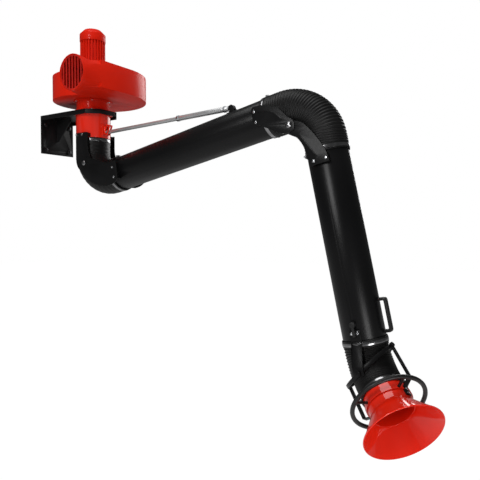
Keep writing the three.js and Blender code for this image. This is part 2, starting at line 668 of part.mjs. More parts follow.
// Stations of a straight, an arc and a straight, spaced evenly along the way
function bentPath(start, dirIn, cornerPoint, dirOut, end, radius) {
  const angle = dirIn.angleTo(dirOut);
  const cut = radius * Math.tan(angle / 2);
  const arcFrom = cornerPoint.clone().addScaledVector(dirIn, -cut);
  const arcTo = cornerPoint.clone().addScaledVector(dirOut, cut);
  const inLen = start.distanceTo(arcFrom);
  const arcLen = radius * angle;
  const outLen = arcTo.distanceTo(end);
  const sum = inLen + arcLen + outLen;
  const toCentre = dirOut.clone().addScaledVector(dirIn, -dirOut.dot(dirIn)).normalize();
  const centre = arcFrom.clone().addScaledVector(toCentre, radius);
  const count = 240;
  const stations = [];
  for (let i = 0; i <= count; i += 1) {
    const d = sum * i / count;
    if (d < inLen) {
      stations.push({ point: start.clone().addScaledVector(dirIn, d), dir: dirIn.clone() });
    } else if (d < inLen + arcLen) {
      const a = (d - inLen) / radius;
      const point = centre.clone().addScaledVector(toCentre, -radius * Math.cos(a))
        .addScaledVector(dirIn, radius * Math.sin(a));
      const dir = dirIn.clone().multiplyScalar(Math.cos(a)).addScaledVector(toCentre, Math.sin(a));
      stations.push({ point, dir });
    } else {
      stations.push({ point: arcTo.clone().addScaledVector(dirOut, d - inLen - arcLen),
        dir: dirOut.clone() });
    }
  }
  return { stations, sum };
}

function at(frame, x, y, z) {
  return new THREE.Vector3(x, y, z).applyMatrix4(frame);
}

function along(frame) {
  return new THREE.Vector3().setFromMatrixColumn(frame, 0);
}

// Band clamp: a thin ring with a block on the outside for its worm screw
function clamp(name, frame, from, screwTurn) {
  const inner = CUFF_R + CLEAR;
  const ring = pipe(inner + CLAMP_T, inner, from, from + CLAMP_W, 'x', frame);
  const turned = frame.clone().multiply(new THREE.Matrix4().makeRotationX(screwTurn));
  const seat = block(from, from + CLAMP_W, -CLAMP_SEAT_L / 2, CLAMP_SEAT_L / 2,
    inner + CLAMP_T / 2, inner + CLAMP_T + CLAMP_SEAT_H, turned);
  add(name, join(ring, seat), STEEL);
}

// Shoulder hose: smooth rubber from the collar's spigot to the upper tube
const down = new THREE.Vector3(0, 0, -1);
const shoulderStart = new THREE.Vector3(AXIS_X, 0, COLLAR_LOW - 0.3);
const shoulderCorner = new THREE.Vector3(AXIS_X, 0, UPPER_ORIGIN_Z);
const shoulderPath = bentPath(shoulderStart, down, shoulderCorner, along(upperFrame),
  at(upperFrame, SHOULDER_HOSE_END, 0, 0), SHOULDER_BEND_R);
function smoothHose(stations) {
  const positions = [];
  const index = [];
  const rings = 12;
  const rows = [[CUFF_R, 1], [HOSE_BORE_R, -1]].map(([radius]) => {
    const list = [];
    for (let i = 0; i <= rings; i += 1) {
      const { point, dir } = stations[Math.round((stations.length - 1) * i / rings)];
      const v = dir.clone().cross(UP);
      list.push(positions.length / 3);
      for (let k = 0; k < HOSE_ROUND; k += 1) {
        const a = 2 * Math.PI * k / HOSE_ROUND;
        const p = point.clone().addScaledVector(UP, radius * Math.cos(a)).addScaledVector(v,
          radius * Math.sin(a));
        positions.push(p.x, p.y, p.z);
      }
    }
    return list;
  });
  const strip = (a, b) => {
    for (let k = 0; k < HOSE_ROUND; k += 1) {
      const m = (k + 1) % HOSE_ROUND;
      index.push(a + k, a + m, b + k, a + m, b + m, b + k);
    }
  };
  const [outer, inner] = rows;
  for (let i = 0; i < rings; i += 1) {
    strip(outer[i], outer[i + 1]);
    strip(inner[i + 1], inner[i]);
  }
  strip(inner[0], outer[0]);
  strip(outer[rings], inner[rings]);
  const geometry = new THREE.BufferGeometry();
  geometry.setAttribute('position', new THREE.Float32BufferAttribute(positions, 3));
  geometry.setIndex(index);
  return solid(geometry);
}
add('shoulder_hose', smoothHose(shoulderPath.stations), RUBBER);
const collarDown = new THREE.Matrix4().makeBasis(down, UP, new THREE.Vector3(1, 0, 0))
  .setPosition(AXIS_X, 0, 0);
clamp('shoulder_clamp_top', collarDown, -COLLAR_LOW + 5, Math.PI);
clamp('shoulder_clamp_low', upperFrame, UPPER_START + 6, 0);

// Elbow hose: ribbed, from the upper tube's end to the lower tube's start
const elbowPath = bentPath(at(upperFrame, UPPER_HOSE_AT, 0, 0), along(upperFrame), corner,
  along(lowerFrame),
  at(lowerFrame, LOWER_HOSE_AT, 0, 0), ELBOW_BEND_R);
const elbowCuff = CUFF_LEN / elbowPath.sum;
add('elbow_hose', hose(elbowPath.stations, UP, ELBOW_RIBS, elbowCuff, elbowCuff), RUBBER);
clamp('elbow_clamp_upper', upperFrame, UPPER_HOSE_AT + 4, 0);
clamp('elbow_clamp_lower', lowerFrame, LOWER_HOSE_AT - 6 - CLAMP_W, Math.PI);

// Hood hose in two lengths that meet near the gimbal ring, on one bend from tube to hood
const hoodHoseFrom = LOWER_END - CUFF_LEN;
const hoodLowEnd = HOOD_NECK_AT + CUFF_LEN;
const hoodPath = bentPath(at(lowerFrame, hoodHoseFrom, 0, 0), along(lowerFrame), gimbal,
  along(hoodFrame),
  at(hoodFrame, hoodLowEnd, 0, 0), HOOD_BEND_R);
const hoodHalf = Math.round(hoodPath.stations.length * HOOD_HOSE_SPLIT);
const hoodUpper = hoodPath.stations.slice(0, hoodHalf);
const hoodLower = hoodPath.stations.slice(hoodHalf + 1);
const hoodStep = hoodPath.sum / (hoodPath.stations.length - 1);
add('hood_hose_upper', hose(hoodUpper, UP, HOOD_RIBS_UPPER,
  CUFF_LEN / (hoodStep * (hoodUpper.length - 1)), 0), RUBBER);
const rollAxis = new THREE.Vector3().setFromMatrixColumn(ringFrame, 2);
add('hood_hose_lower', hose(hoodLower, rollAxis, HOOD_RIBS_LOWER, 0,
  CUFF_LEN / (hoodStep * (hoodLower.length - 1))), RUBBER);
clamp('hood_clamp_upper', lowerFrame, hoodHoseFrom + 6, -Math.PI * 0.3);
clamp('hood_clamp_lower', hoodFrame, hoodLowEnd - 6 - CLAMP_W, Math.PI * 0.75);

// Tubes
add('upper_tube', pipe(TUBE_R, TUBE_R - TUBE_WALL, UPPER_START, UPPER_END, 'x', upperFrame,
  TUBE_ROUND), BLACK);
let lowerTube = pipe(TUBE_R, TUBE_R - TUBE_WALL, LOWER_START, LOWER_END, 'x', lowerFrame, TUBE_ROUND);
lowerTube = lowerTube.subtract(
  rod(DAMPER_SPINDLE_R + CLEAR, -TUBE_R - 5, TUBE_R + 5, 'y', [DAMPER_S, 0, 0], lowerFrame),
);
add('lower_tube', lowerTube, BLACK);

// Shoulder hinge: straps on the collar, broad cheeks on the tube, one pivot bolt a side
const tubeSaddle = rod(TUBE_R + 0.2, 0, UPPER_LENGTH_TO_CORNER, 'x', [0, 0, 0], upperFrame, CUT_ROUND);
const collarSaddle = rod(COLLAR_R + 0.2, COLLAR_LOW - 60, COLLAR_TOP, 'z', [AXIS_X, 0, 0], null,
  CUT_ROUND);
for (const [word, side] of SIDES) {
  const strap = new THREE.Shape();
  strap.moveTo(STRAP_X0, STRAP_TOP);
  strap.lineTo(STRAP_X0, SHOULDER_Z + 22);
  strap.quadraticCurveTo(STRAP_X0 + 4, SHOULDER_Z - STRAP_END_R + 6, SHOULDER_X,
    SHOULDER_Z - STRAP_END_R);
  strap.quadraticCurveTo(SHOULDER_X + 58, SHOULDER_Z - STRAP_END_R, SHOULDER_X + 62, SHOULDER_Z);
  strap.quadraticCurveTo(STRAP_X1, SHOULDER_Z + 40, STRAP_X1, SHOULDER_Z + 84);
  strap.lineTo(STRAP_X1, STRAP_TOP);
  strap.closePath();
  const [s0, s1] = sideSpan(side, STRAP_IN, STRAP_IN + STRAP_T);
  const [p0, p1] = sideSpan(side, 40, STRAP_IN + 1);
  const pad = block(STRAP_X0 + 4, STRAP_X1 - 4, p0, p1, COLLAR_LOW + 0.5, STRAP_TOP - 2)
    .subtract(collarSaddle);
  const pin = rod(PIVOT_R + CLEAR, -140, 140, 'y', [SHOULDER_X, 0, SHOULDER_Z]);
  add(`shoulder_strap_${word}`, plateXZ(strap, s0, s1).add(pad).subtract(pin), BLACK);
  const cheekSpan = sideSpan(side, CHEEK_IN, CHEEK_IN + CHEEK_T);
  const eye = at(upperFrame.clone().invert(), SHOULDER_X, 0, SHOULDER_Z);
  const cheek = new THREE.Shape();
  cheek.moveTo(eye.x - 34, eye.z + 4);
  cheek.quadraticCurveTo(eye.x - 26, eye.z + 32, eye.x + 6, eye.z + 30);
  cheek.quadraticCurveTo(eye.x + 70, eye.z + 4, CHEEK_PAD_S0 - 14, 46);
  cheek.lineTo(CHEEK_PAD_S1 - 8, 42);
  cheek.quadraticCurveTo(CHEEK_PAD_S1, 40, CHEEK_PAD_S1, 30);
  cheek.lineTo(CHEEK_PAD_S1 - 4, -46);
  cheek.quadraticCurveTo(CHEEK_PAD_S1 - 30, -70, CHEEK_PAD_S0 - 30, -64);
  cheek.quadraticCurveTo(eye.x + 30, -40, eye.x - 12, 22);
  cheek.quadraticCurveTo(eye.x - 34, 60, eye.x - 34, eye.z + 4);
  const [c0, c1] = sideSpan(side, 45, CHEEK_IN + 1);
  const cheekPad = block(CHEEK_PAD_S0, CHEEK_PAD_S1 - 6, c0, c1, -44, 34, upperFrame)
    .subtract(tubeSaddle);
  add(`shoulder_cheek_${word}`, plateXZ(cheek, ...cheekSpan, upperFrame).add(cheekPad).subtract(pin),
    BLACK);
  const headFrom = CHEEK_IN + CHEEK_T + CLEAR;
  const bolt = revolve([
    [0.001, STRAP_IN + 0.2], [PIVOT_R, STRAP_IN + 0.2], [PIVOT_R, headFrom], [PIVOT_HEAD_R, headFrom],
    [PIVOT_HEAD_R, headFrom + 3], [PIVOT_HEAD_R * 0.7, headFrom + PIVOT_HEAD_H - 1.5],
    [0.001, headFrom + PIVOT_HEAD_H],
  ], 'y', new THREE.Matrix4().makeTranslation(SHOULDER_X, 0, SHOULDER_Z)
    .multiply(new THREE.Matrix4().makeRotationX(side < 0 ? Math.PI : 0)), SMALL_ROUND);
  add(`shoulder_bolt_${word}`, bolt, STEEL);
}

// Elbow hinge: pressed arms with raised ribs, the upper pair outside the lower pair
const elbowPin = rod(PIVOT_R + CLEAR, -140, 140, 'y', [ELBOW_PIVOT_S, 0, ELBOW_PIVOT_N],
  elbowUpperFrame);
const elbowPivot = at(elbowUpperFrame, ELBOW_PIVOT_S, 0, ELBOW_PIVOT_N);
const lowerEye = elbowPivot.clone().applyMatrix4(lowerFrame.clone().invert());
const lowerSaddle = rod(TUBE_R + 0.2, 0, LOWER_END, 'x', [0, 0, 0], lowerFrame, CUT_ROUND);
for (const [word, side] of SIDES) {
  const upperArm = new THREE.Shape();
  const left = -ELBOW_PAD_S - ELBOW_PAD_LEN / 2;
  upperArm.moveTo(left, 20);
  upperArm.quadraticCurveTo(left, 36, left + 18, 35);
  upperArm.quadraticCurveTo(-150, 28, -112, -22);
  upperArm.quadraticCurveTo(-98, -48, ELBOW_PIVOT_S + 16, ELBOW_PIVOT_N + 20);
  upperArm.quadraticCurveTo(ELBOW_PIVOT_S + ELBOW_BOSS_R, ELBOW_PIVOT_N + 4, ELBOW_PIVOT_S + 18,
    ELBOW_PIVOT_N - 22);
  upperArm.quadraticCurveTo(ELBOW_PIVOT_S, ELBOW_PIVOT_N - ELBOW_BOSS_R - 4, ELBOW_PIVOT_S - 30,
    ELBOW_PIVOT_N - 24);
  upperArm.quadraticCurveTo(-170, -80, left + ELBOW_PAD_LEN, -46);
  upperArm.quadraticCurveTo(left, -40, left, -24);
  upperArm.closePath();
  const span = sideSpan(side, ELBOW_OUT, ELBOW_OUT + ELBOW_ARM_T);
  const [q0, q1] = sideSpan(side, 45, ELBOW_OUT + 1);
  const pad = block(left + 2, -UPPER_HOSE_SETBACK - 1, q0, q1, -ELBOW_PAD_HALF, 28, elbowUpperFrame)
    .subtract(tubeSaddle);
  const ribSpan = sideSpan(side, ELBOW_OUT + 1, ELBOW_OUT + ELBOW_ARM_T + ELBOW_RIB_H);
  const rib = new THREE.Shape();
  rib.moveTo(left + 24, 6);
  rib.quadraticCurveTo(-158, 8, -122, -52);
  rib.lineTo(-122 + ELBOW_RIB_W, -50);
  rib.quadraticCurveTo(-152, 16, left + 24, 6 + ELBOW_RIB_W);
  rib.closePath();
  add(`elbow_arm_upper_${word}`, join(plateXZ(upperArm, ...span, elbowUpperFrame), pad,
    plateXZ(rib, ...ribSpan, elbowUpperFrame)).subtract(elbowPin), BLACK);
  const lowerArm = new THREE.Shape();
  const end = ELBOW_PAD_S + ELBOW_PAD_LEN;
  lowerArm.moveTo(lowerEye.x - 14, lowerEye.z + 12);
  lowerArm.quadraticCurveTo(lowerEye.x - 6, lowerEye.z + 40, lowerEye.x + 10, lowerEye.z + 58);
  lowerArm.quadraticCurveTo(150, 6, 216, 30);
  lowerArm.lineTo(end, 37);
  lowerArm.lineTo(end, -38);
  lowerArm.lineTo(232, -45);
  lowerArm.quadraticCurveTo(170, -48, 136, -75);
  lowerArm.quadraticCurveTo(112, -98, lowerEye.x + 22, lowerEye.z - 14);
  lowerArm.quadraticCurveTo(lowerEye.x + 2, lowerEye.z - ELBOW_BOSS_R + 4, lowerEye.x - 18,
    lowerEye.z - 12);
  lowerArm.closePath();
  const innerSpan = sideSpan(side, ELBOW_IN, ELBOW_IN + ELBOW_ARM_T);
  const [r0, r1] = sideSpan(side, 45, ELBOW_IN + 1);
  const lowPad = block(end - 28, end - 2, r0, r1, -ELBOW_PAD_HALF, ELBOW_PAD_HALF, lowerFrame)
    .subtract(lowerSaddle);
  const lowRibSpan = sideSpan(side, ELBOW_IN + 1, ELBOW_IN + ELBOW_ARM_T + ELBOW_RIB_H);
  const lowRib = new THREE.Shape();
  lowRib.moveTo(lowerEye.x + ELBOW_BAND + 12, lowerEye.z + 30);
  lowRib.quadraticCurveTo(175, -40, end - 30, -12);
  lowRib.lineTo(end - 30, -12 + ELBOW_RIB_W);
  lowRib.quadraticCurveTo(172, -34, lowerEye.x + ELBOW_BAND + 12, lowerEye.z + 30 + ELBOW_RIB_W);
  lowRib.closePath();
  add(`elbow_arm_lower_${word}`, join(plateXZ(lowerArm, ...innerSpan, lowerFrame), lowPad,
    plateXZ(lowRib, ...lowRibSpan, lowerFrame)).subtract(elbowPin), BLACK);
  const headFrom = ELBOW_OUT + ELBOW_ARM_T + CLEAR;
  const bolt = revolve([
    [0.001, ELBOW_IN + 0.2], [PIVOT_R, ELBOW_IN + 0.2], [PIVOT_R, headFrom], [PIVOT_HEAD_R, headFrom],
    [PIVOT_HEAD_R, headFrom + 3], [PIVOT_HEAD_R * 0.7, headFrom + PIVOT_HEAD_H - 1.5],
    [0.001, headFrom + PIVOT_HEAD_H],
  ], 'y', new THREE.Matrix4().makeTranslation(elbowPivot.x, 0, elbowPivot.z)
    .multiply(new THREE.Matrix4().makeRotationX(side < 0 ? Math.PI : 0)), SMALL_ROUND);
  add(`elbow_bolt_${word}`, bolt, STEEL);
}

// Bail handle on the outer side of the lower tube
const bail = new THREE.Shape();
bail.moveTo(HANDLE_S0, TUBE_R - 6);
bail.lineTo(HANDLE_S0, TUBE_R + HANDLE_OUT - 12);
bail.quadraticCurveTo(HANDLE_S0, TUBE_R + HANDLE_OUT, HANDLE_S0 + 14, TUBE_R + HANDLE_OUT);
bail.lineTo(HANDLE_S1 - 14, TUBE_R + HANDLE_OUT);
bail.quadraticCurveTo(HANDLE_S1, TUBE_R + HANDLE_OUT, HANDLE_S1, TUBE_R + HANDLE_OUT - 12);
bail.lineTo(HANDLE_S1, TUBE_R - 6);
bail.closePath();
const bailGap = block(HANDLE_S0 + HANDLE_BAR, HANDLE_S1 - HANDLE_BAR, -HANDLE_W, HANDLE_W,
  0, TUBE_R + HANDLE_OUT - HANDLE_BAR, lowerFrame);
add('arm_handle', plateXZ(bail, -HANDLE_W / 2, HANDLE_W / 2, lowerFrame).subtract(bailGap)
  .subtract(lowerSaddle), BLACK);

// Damper: plate on a spindle across the lower tube, turned by a knob on the near side
const knobFrom = TUBE_R + 0.5;
const damperPlate = rod(
  DAMPER_PLATE_R, -DAMPER_PLATE_T / 2, DAMPER_PLATE_T / 2, 'z', [DAMPER_S, 0, 0], lowerFrame, ROUND,
);
const spindle = rod(
  DAMPER_SPINDLE_R, -knobFrom - DAMPER_KNOB_L + 4, TUBE_R + 3, 'y', [DAMPER_S, 0, 0], lowerFrame,
);
add('damper_plate', join(damperPlate, spindle), STEEL);
const knob = rod(
  DAMPER_KNOB_R, -knobFrom - DAMPER_KNOB_L, -knobFrom, 'y', [DAMPER_S, 0, 0], lowerFrame,
);
const lever = block(DAMPER_S, DAMPER_S + DAMPER_LEVER_L, -knobFrom - DAMPER_KNOB_L,
  -knobFrom - DAMPER_KNOB_L + 6, -5, 5, lowerFrame);
const spindleHole = rod(
  DAMPER_SPINDLE_R + 0.1, -knobFrom - DAMPER_KNOB_L + 3.8, 0, 'y', [DAMPER_S, 0, 0], lowerFrame,
);
add('damper_knob', join(knob, lever).subtract(spindleHole), BLACK);

// Hood joint: forks on the lower tube, gimbal ring with four pins
let ring = pipe(RING_IN + RING_T, RING_IN, -RING_W / 2, RING_W / 2, 'x', ringFrame);
for (const [word, side] of SIDES) {
  const fork = new THREE.Shape();
  const low = TUBE_R + 0.6;
  const high = FORK_IN;
  fork.moveTo(FORK_S0, side * low);
  fork.lineTo(FORK_PAD_S1, side * low);
  fork.lineTo(GIMBAL_S - 22, side * high);
  fork.lineTo(GIMBAL_S + FORK_NOSE, side * high);
  fork.lineTo(GIMBAL_S + FORK_NOSE, side * (high + FORK_T));
  fork.lineTo(GIMBAL_S - 24, side * (high + FORK_T));
  fork.lineTo(FORK_PAD_S1 - 2, side * (low + FORK_T));
  fork.lineTo(FORK_S0, side * (low + FORK_T));
  fork.closePath();
  const hole = rod(PIN_R + CLEAR, -140, 140, 'y', [GIMBAL_S, 0, 0], lowerFrame);
  const [f0, f1] = sideSpan(side, 60, low + 1);
  const pad = block(FORK_S0, FORK_S0 + 30, f0, f1, -FORK_W / 2, FORK_W / 2, lowerFrame)
    .subtract(lowerSaddle);
  const clampRoom = pipe(CUFF_R + CLAMP_T + 1.4, 1, hoodHoseFrom - 1, LOWER_END + 40, 'x', lowerFrame);
  add(`hood_fork_${word}`, plateXY(fork, -FORK_W / 2, FORK_W / 2, lowerFrame).add(pad)
    .subtract(clampRoom).subtract(hole), BLACK);
  const pinFrom = RING_IN + 1;
  const pinTo = FORK_IN + FORK_T + CLEAR;
  const [a0, a1] = sideSpan(side, pinFrom, pinTo + 1);
  const [h0, h1] = sideSpan(side, pinTo, pinTo + PIN_HEAD_H);
  const pin = rod(PIN_R, a0, a1, 'y', [0, 0, 0], ringFrame);
  const pinHead = rod(PIN_HEAD_R, h0, h1, 'y', [0, 0, 0], ringFrame);
  ring = join(ring, pin, pinHead);
}
const bracketIn = RING_IN + RING_T + 1;
for (const side of [-1, 1]) {
  const pinTo = bracketIn + BRACKET_T + CLEAR;
  const [a0, a1] = sideSpan(side, RING_IN + 1, pinTo + 1);
  const [h0, h1] = sideSpan(side, pinTo, pinTo + PIN_HEAD_H);
  const pin = rod(PIN_R, a0, a1, 'z', [0, 0, 0], ringFrame);
  const pinHead = rod(PIN_HEAD_R, h0, h1, 'z', [0, 0, 0], ringFrame);
  ring = join(ring, pin, pinHead);
}
add('gimbal_ring', ring, BLACK);

// Bell mouth hood: straight neck, then a flare that turns outwards to the rolled rim
const hoodProfile = [];
const flareAt = (t) => {
  const soften = 0.1;
  const rise = (Math.sqrt(t * t + soften * soften) - soften) / (Math.sqrt(1 + soften * soften) - soften);
  return [HOOD_NECK_R + (HOOD_MOUTH_R - HOOD_NECK_R) * rise,
    HOOD_STRAIGHT + (HOOD_MOUTH_AT - HOOD_STRAIGHT) * t];
};
hoodProfile.push([HOOD_NECK_R, HOOD_NECK_AT]);
for (let i = 0; i <= HOOD_FLARE_STEPS; i += 1) hoodProfile.push(flareAt(i / HOOD_FLARE_STEPS));
hoodProfile.push([HOOD_MOUTH_R + HOOD_BEAD_R, HOOD_MOUTH_AT + HOOD_BEAD_R]);
hoodProfile.push([HOOD_MOUTH_R, HOOD_MOUTH_AT + 2 * HOOD_BEAD_R]);
hoodProfile.push([HOOD_MOUTH_R - HOOD_WALL, HOOD_MOUTH_AT + HOOD_WALL]);
for (let i = HOOD_FLARE_STEPS - 1; i >= 0; i -= 1) {
  const [r, s] = flareAt(i / HOOD_FLARE_STEPS);
  hoodProfile.push([r - HOOD_WALL, s + HOOD_WALL * 0.6]);
}
hoodProfile.push([HOOD_NECK_R - HOOD_WALL, HOOD_NECK_AT]);
add('hood', revolve(hoodProfile, 'x', hoodFrame, ROUND + 8), RED);

// Hood brackets on the roll pins, and the ring handle on its spokes
const neckSaddle = rod(HOOD_NECK_R + 0.2, 0, HOOD_STRAIGHT + 6, 'x', [0, 0, 0], hoodFrame, CUT_ROUND);
for (const [word, side] of [['inner', -1], ['outer', 1]]) {
  const arm = new THREE.Shape();
  arm.moveTo(0, side * bracketIn);
  arm.lineTo(HOOD_NECK_AT + 36, side * bracketIn);
  arm.lineTo(HOOD_NECK_AT + 52, side * (HOOD_NECK_R + 0.6));
  arm.lineTo(HOOD_STRAIGHT - 2, side * (HOOD_NECK_R + 0.6));
  arm.lineTo(HOOD_STRAIGHT - 2, side * (HOOD_NECK_R + 0.6 + BRACKET_T));
  arm.lineTo(HOOD_NECK_AT + 54, side * (HOOD_NECK_R + 0.6 + BRACKET_T));
  arm.lineTo(HOOD_NECK_AT + 38, side * (bracketIn + BRACKET_T));
  arm.lineTo(0, side * (bracketIn + BRACKET_T));
  arm.closePath();
  const [e0, e1] = sideSpan(side, bracketIn, bracketIn + BRACKET_T);
  const flat = plateXZ(arm, -BRACKET_END_R, BRACKET_END_R, hoodFrame)
    .add(rod(BRACKET_END_R, e0, e1, 'z', [0, 0, 0], hoodFrame, ROUND));
  const foot = side < 0 ? [-HOOD_NECK_R - 2, -60] : [60, HOOD_NECK_R + 2];
  const pad = block(HOOD_NECK_AT + 56, HOOD_STRAIGHT - 2, -BRACKET_W / 2, BRACKET_W / 2, foot[0],
    foot[1], hoodFrame);
  const hole = rod(PIN_R + CLEAR, -140, 140, 'z', [0, 0, 0], hoodFrame);
  add(`hood_bracket_${word}`, flat.add(pad).subtract(neckSaddle).subtract(hole), BLACK);
}
const rim = new THREE.TorusGeometry(HANDLE_RING_R, HANDLE_RING_ROD, 8, ROUND);
rim.rotateY(Math.PI / 2);
rim.translate(HANDLE_RING_AT, 0, 0);
let handleRing = placed(rim, hoodFrame);
const seatIn = (HOOD_NECK_R + CLEAR) / Math.cos(Math.PI / ROUND);
const seat = pipe(seatIn + 4, seatIn, HANDLE_RING_AT - 8, HANDLE_RING_AT + 8, 'x', hoodFrame);
let spokes = seat;
for (const deg of [20, 110, 200, 290]) {
  const turned = hoodFrame.clone().multiply(new THREE.Matrix4()
    .makeRotationX(THREE.MathUtils.degToRad(deg)));
  spokes = spokes.add(rod(SPOKE_R, HOOD_NECK_R + 3, HANDLE_RING_R, 'z', [HANDLE_RING_AT, 0, 0],
    turned, 8));
}
for (const side of [-1, 1]) {
  const [n0, n1] = side < 0 ? [-HOOD_NECK_R - 9, -60] : [60, HOOD_NECK_R + 9];
  spokes = spokes.subtract(block(HANDLE_RING_AT - 12, HANDLE_RING_AT + 12, -BRACKET_W / 2 - CLEAR,
    BRACKET_W / 2 + CLEAR, n0, n1, hoodFrame));
}
add('ring_handle', handleRing.add(spokes), BLACK);

// Gas spring: sleeve, rod and eye on the tube's lug, cylinder with a cross pin in the collar's
// slotted clevis
const strutAngle = Math.atan2(STRUT_LUG_Z - STRUT_COLLAR_Z, STRUT_LUG_X - STRUT_COLLAR_X);
const strutLength = Math.hypot(STRUT_LUG_Z - STRUT_COLLAR_Z, STRUT_LUG_X - STRUT_COLLAR_X);
const strutFrame = planeFrame(STRUT_COLLAR_X, STRUT_COLLAR_Z, strutAngle);
const cylinder = join(
  pipe(STRUT_CYL_R, STRUT_BORE_R, 16, STRUT_CYL_LEN, 'x', strutFrame, SMALL_ROUND),
  rod(STRUT_CYL_R, 6, 40, 'x', [0, 0, 0], strutFrame, SMALL_ROUND),
  rod(STRUT_EYE_R, -STRUT_EYE_W / 2, STRUT_EYE_W / 2, 'y', [0, 0, 0], strutFrame),
  rod(STRUT_PIN_R, -STRUT_PIN_L / 2, STRUT_PIN_L / 2, 'y', [0, 0, 0], strutFrame),
).subtract(join(
  block(-12, 22, STRUT_EYE_W / 2, 12, -12, 12, strutFrame),
  block(-12, 22, -12, -STRUT_EYE_W / 2, -12, 12, strutFrame),
));
const strutPin = rod(STRUT_PIN_R, -STRUT_PIN_L / 2, STRUT_PIN_L / 2, 'y', [0, 0, 0], strutFrame);
add('spring_cylinder', cylinder.add(strutPin), SILVER);
const sleeve = join(
  pipe(STRUT_SLEEVE_R, STRUT_SLEEVE_IN_R, STRUT_SLEEVE_AT, STRUT_CAP_AT, 'x', strutFrame, SMALL_ROUND),
  rod(STRUT_SLEEVE_R, STRUT_CAP_AT - 8, strutLength - 12, 'x', [0, 0, 0], strutFrame, SMALL_ROUND),
  rod(STRUT_ROD_R, STRUT_ROD_AT, STRUT_CAP_AT, 'x', [0, 0, 0], strutFrame, SMALL_ROUND),
  block(strutLength - 16, strutLength, -STRUT_EYE_W / 2, STRUT_EYE_W / 2, -6, 6, strutFrame),
  rod(STRUT_EYE_R, -STRUT_EYE_W / 2, STRUT_EYE_W / 2, 'y', [strutLength, 0, 0], strutFrame),
).subtract(rod(STRUT_PIN_R + CLEAR, -30, 30, 'y', [strutLength, 0, 0], strutFrame))
  .subtract(join(
    block(strutLength - 16, strutLength + 12, STRUT_EYE_W / 2, 14, -14, 14, strutFrame),
    block(strutLength - 16, strutLength + 12, -14, -STRUT_EYE_W / 2, -14, 14, strutFrame),
  ));
add('spring_sleeve', sleeve, SILVER);

// Slotted clevis on the collar
const slotFrame = planeFrame(STRUT_COLLAR_X, STRUT_COLLAR_Z, SLOT_ANGLE);
const clevisHalf = SLOT_HALF_W + CLEVIS_MARGIN;
let clevis = null;
for (const [, side] of SIDES) {
  const [y0, y1] = sideSpan(side, CLEVIS_IN, CLEVIS_IN + CLEVIS_T);
  const cheek = block(-SLOT_HALF_W - CLEVIS_MARGIN, SLOT_TRAVEL + SLOT_HALF_W + CLEVIS_MARGIN, y0,
    y1, -clevisHalf, clevisHalf, slotFrame)
    .add(block(COLLAR_R - 10, STRUT_COLLAR_X - AXIS_X, y0, y1, STRUT_COLLAR_Z - 10,
      STRUT_COLLAR_Z + 30, axisFrame));
  clevis = clevis ? clevis.add(cheek) : cheek;
}
const clevisBase = block(COLLAR_R - 12, COLLAR_R + 4, -20, 20, STRUT_COLLAR_Z - 14,
  STRUT_COLLAR_Z + 40, axisFrame);
const slot = join(
  block(0, SLOT_TRAVEL, -30, 30, -SLOT_HALF_W, SLOT_HALF_W, slotFrame),
  rod(SLOT_HALF_W, -30, 30, 'y', [0, 0, 0], slotFrame),
  rod(SLOT_HALF_W, -30, 30, 'y', [SLOT_TRAVEL, 0, 0], slotFrame),
);
add('spring_clevis', clevis.add(clevisBase).subtract(slot).subtract(collarSaddle), BLACK);

// Lug on the upper tube with its fixed pin
const lugEye = at(upperFrame.clone().invert(), STRUT_LUG_X, 0, STRUT_LUG_Z);
let lug = block(lugEye.x - 26, lugEye.x + 26, -LUG_IN - LUG_T, LUG_IN + LUG_T, TUBE_R - 8,
  TUBE_R + 5, upperFrame);
for (const [, side] of SIDES) {
  const [y0, y1] = sideSpan(side, LUG_IN, LUG_IN + LUG_T);
  lug = join(lug, block(lugEye.x - LUG_R, lugEye.x + LUG_R, y0, y1, TUBE_R, lugEye.z, upperFrame),
    rod(LUG_R, y0, y1, 'y', [lugEye.x, 0, lugEye.z], upperFrame));
}
lug = lug.add(rod(STRUT_PIN_R, -LUG_IN - LUG_T, LUG_IN + LUG_T, 'y', [lugEye.x, 0, lugEye.z],
  upperFrame));
add('spring_lug', lug.subtract(tubeSaddle), BLACK);

export default group;
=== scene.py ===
import json
import math
import bpy
import numpy as np
from mathutils import Matrix, Vector


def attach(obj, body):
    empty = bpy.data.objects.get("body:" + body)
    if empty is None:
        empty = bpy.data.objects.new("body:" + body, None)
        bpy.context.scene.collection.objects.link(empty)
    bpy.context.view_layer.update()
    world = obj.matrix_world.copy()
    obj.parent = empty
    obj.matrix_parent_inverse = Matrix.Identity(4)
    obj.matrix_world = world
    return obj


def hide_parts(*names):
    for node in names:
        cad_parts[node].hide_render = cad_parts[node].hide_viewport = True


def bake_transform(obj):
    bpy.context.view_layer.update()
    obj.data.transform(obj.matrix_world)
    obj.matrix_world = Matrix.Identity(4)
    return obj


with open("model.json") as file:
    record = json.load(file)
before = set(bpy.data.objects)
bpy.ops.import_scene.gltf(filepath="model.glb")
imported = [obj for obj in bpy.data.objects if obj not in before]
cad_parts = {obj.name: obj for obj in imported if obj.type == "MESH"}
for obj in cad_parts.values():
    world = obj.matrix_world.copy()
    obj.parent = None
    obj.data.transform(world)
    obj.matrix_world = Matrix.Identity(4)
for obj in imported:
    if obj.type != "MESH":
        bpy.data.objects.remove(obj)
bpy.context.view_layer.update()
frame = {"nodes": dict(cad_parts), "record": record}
scene = bpy.context.scene
scene.view_settings.view_transform = "Standard"

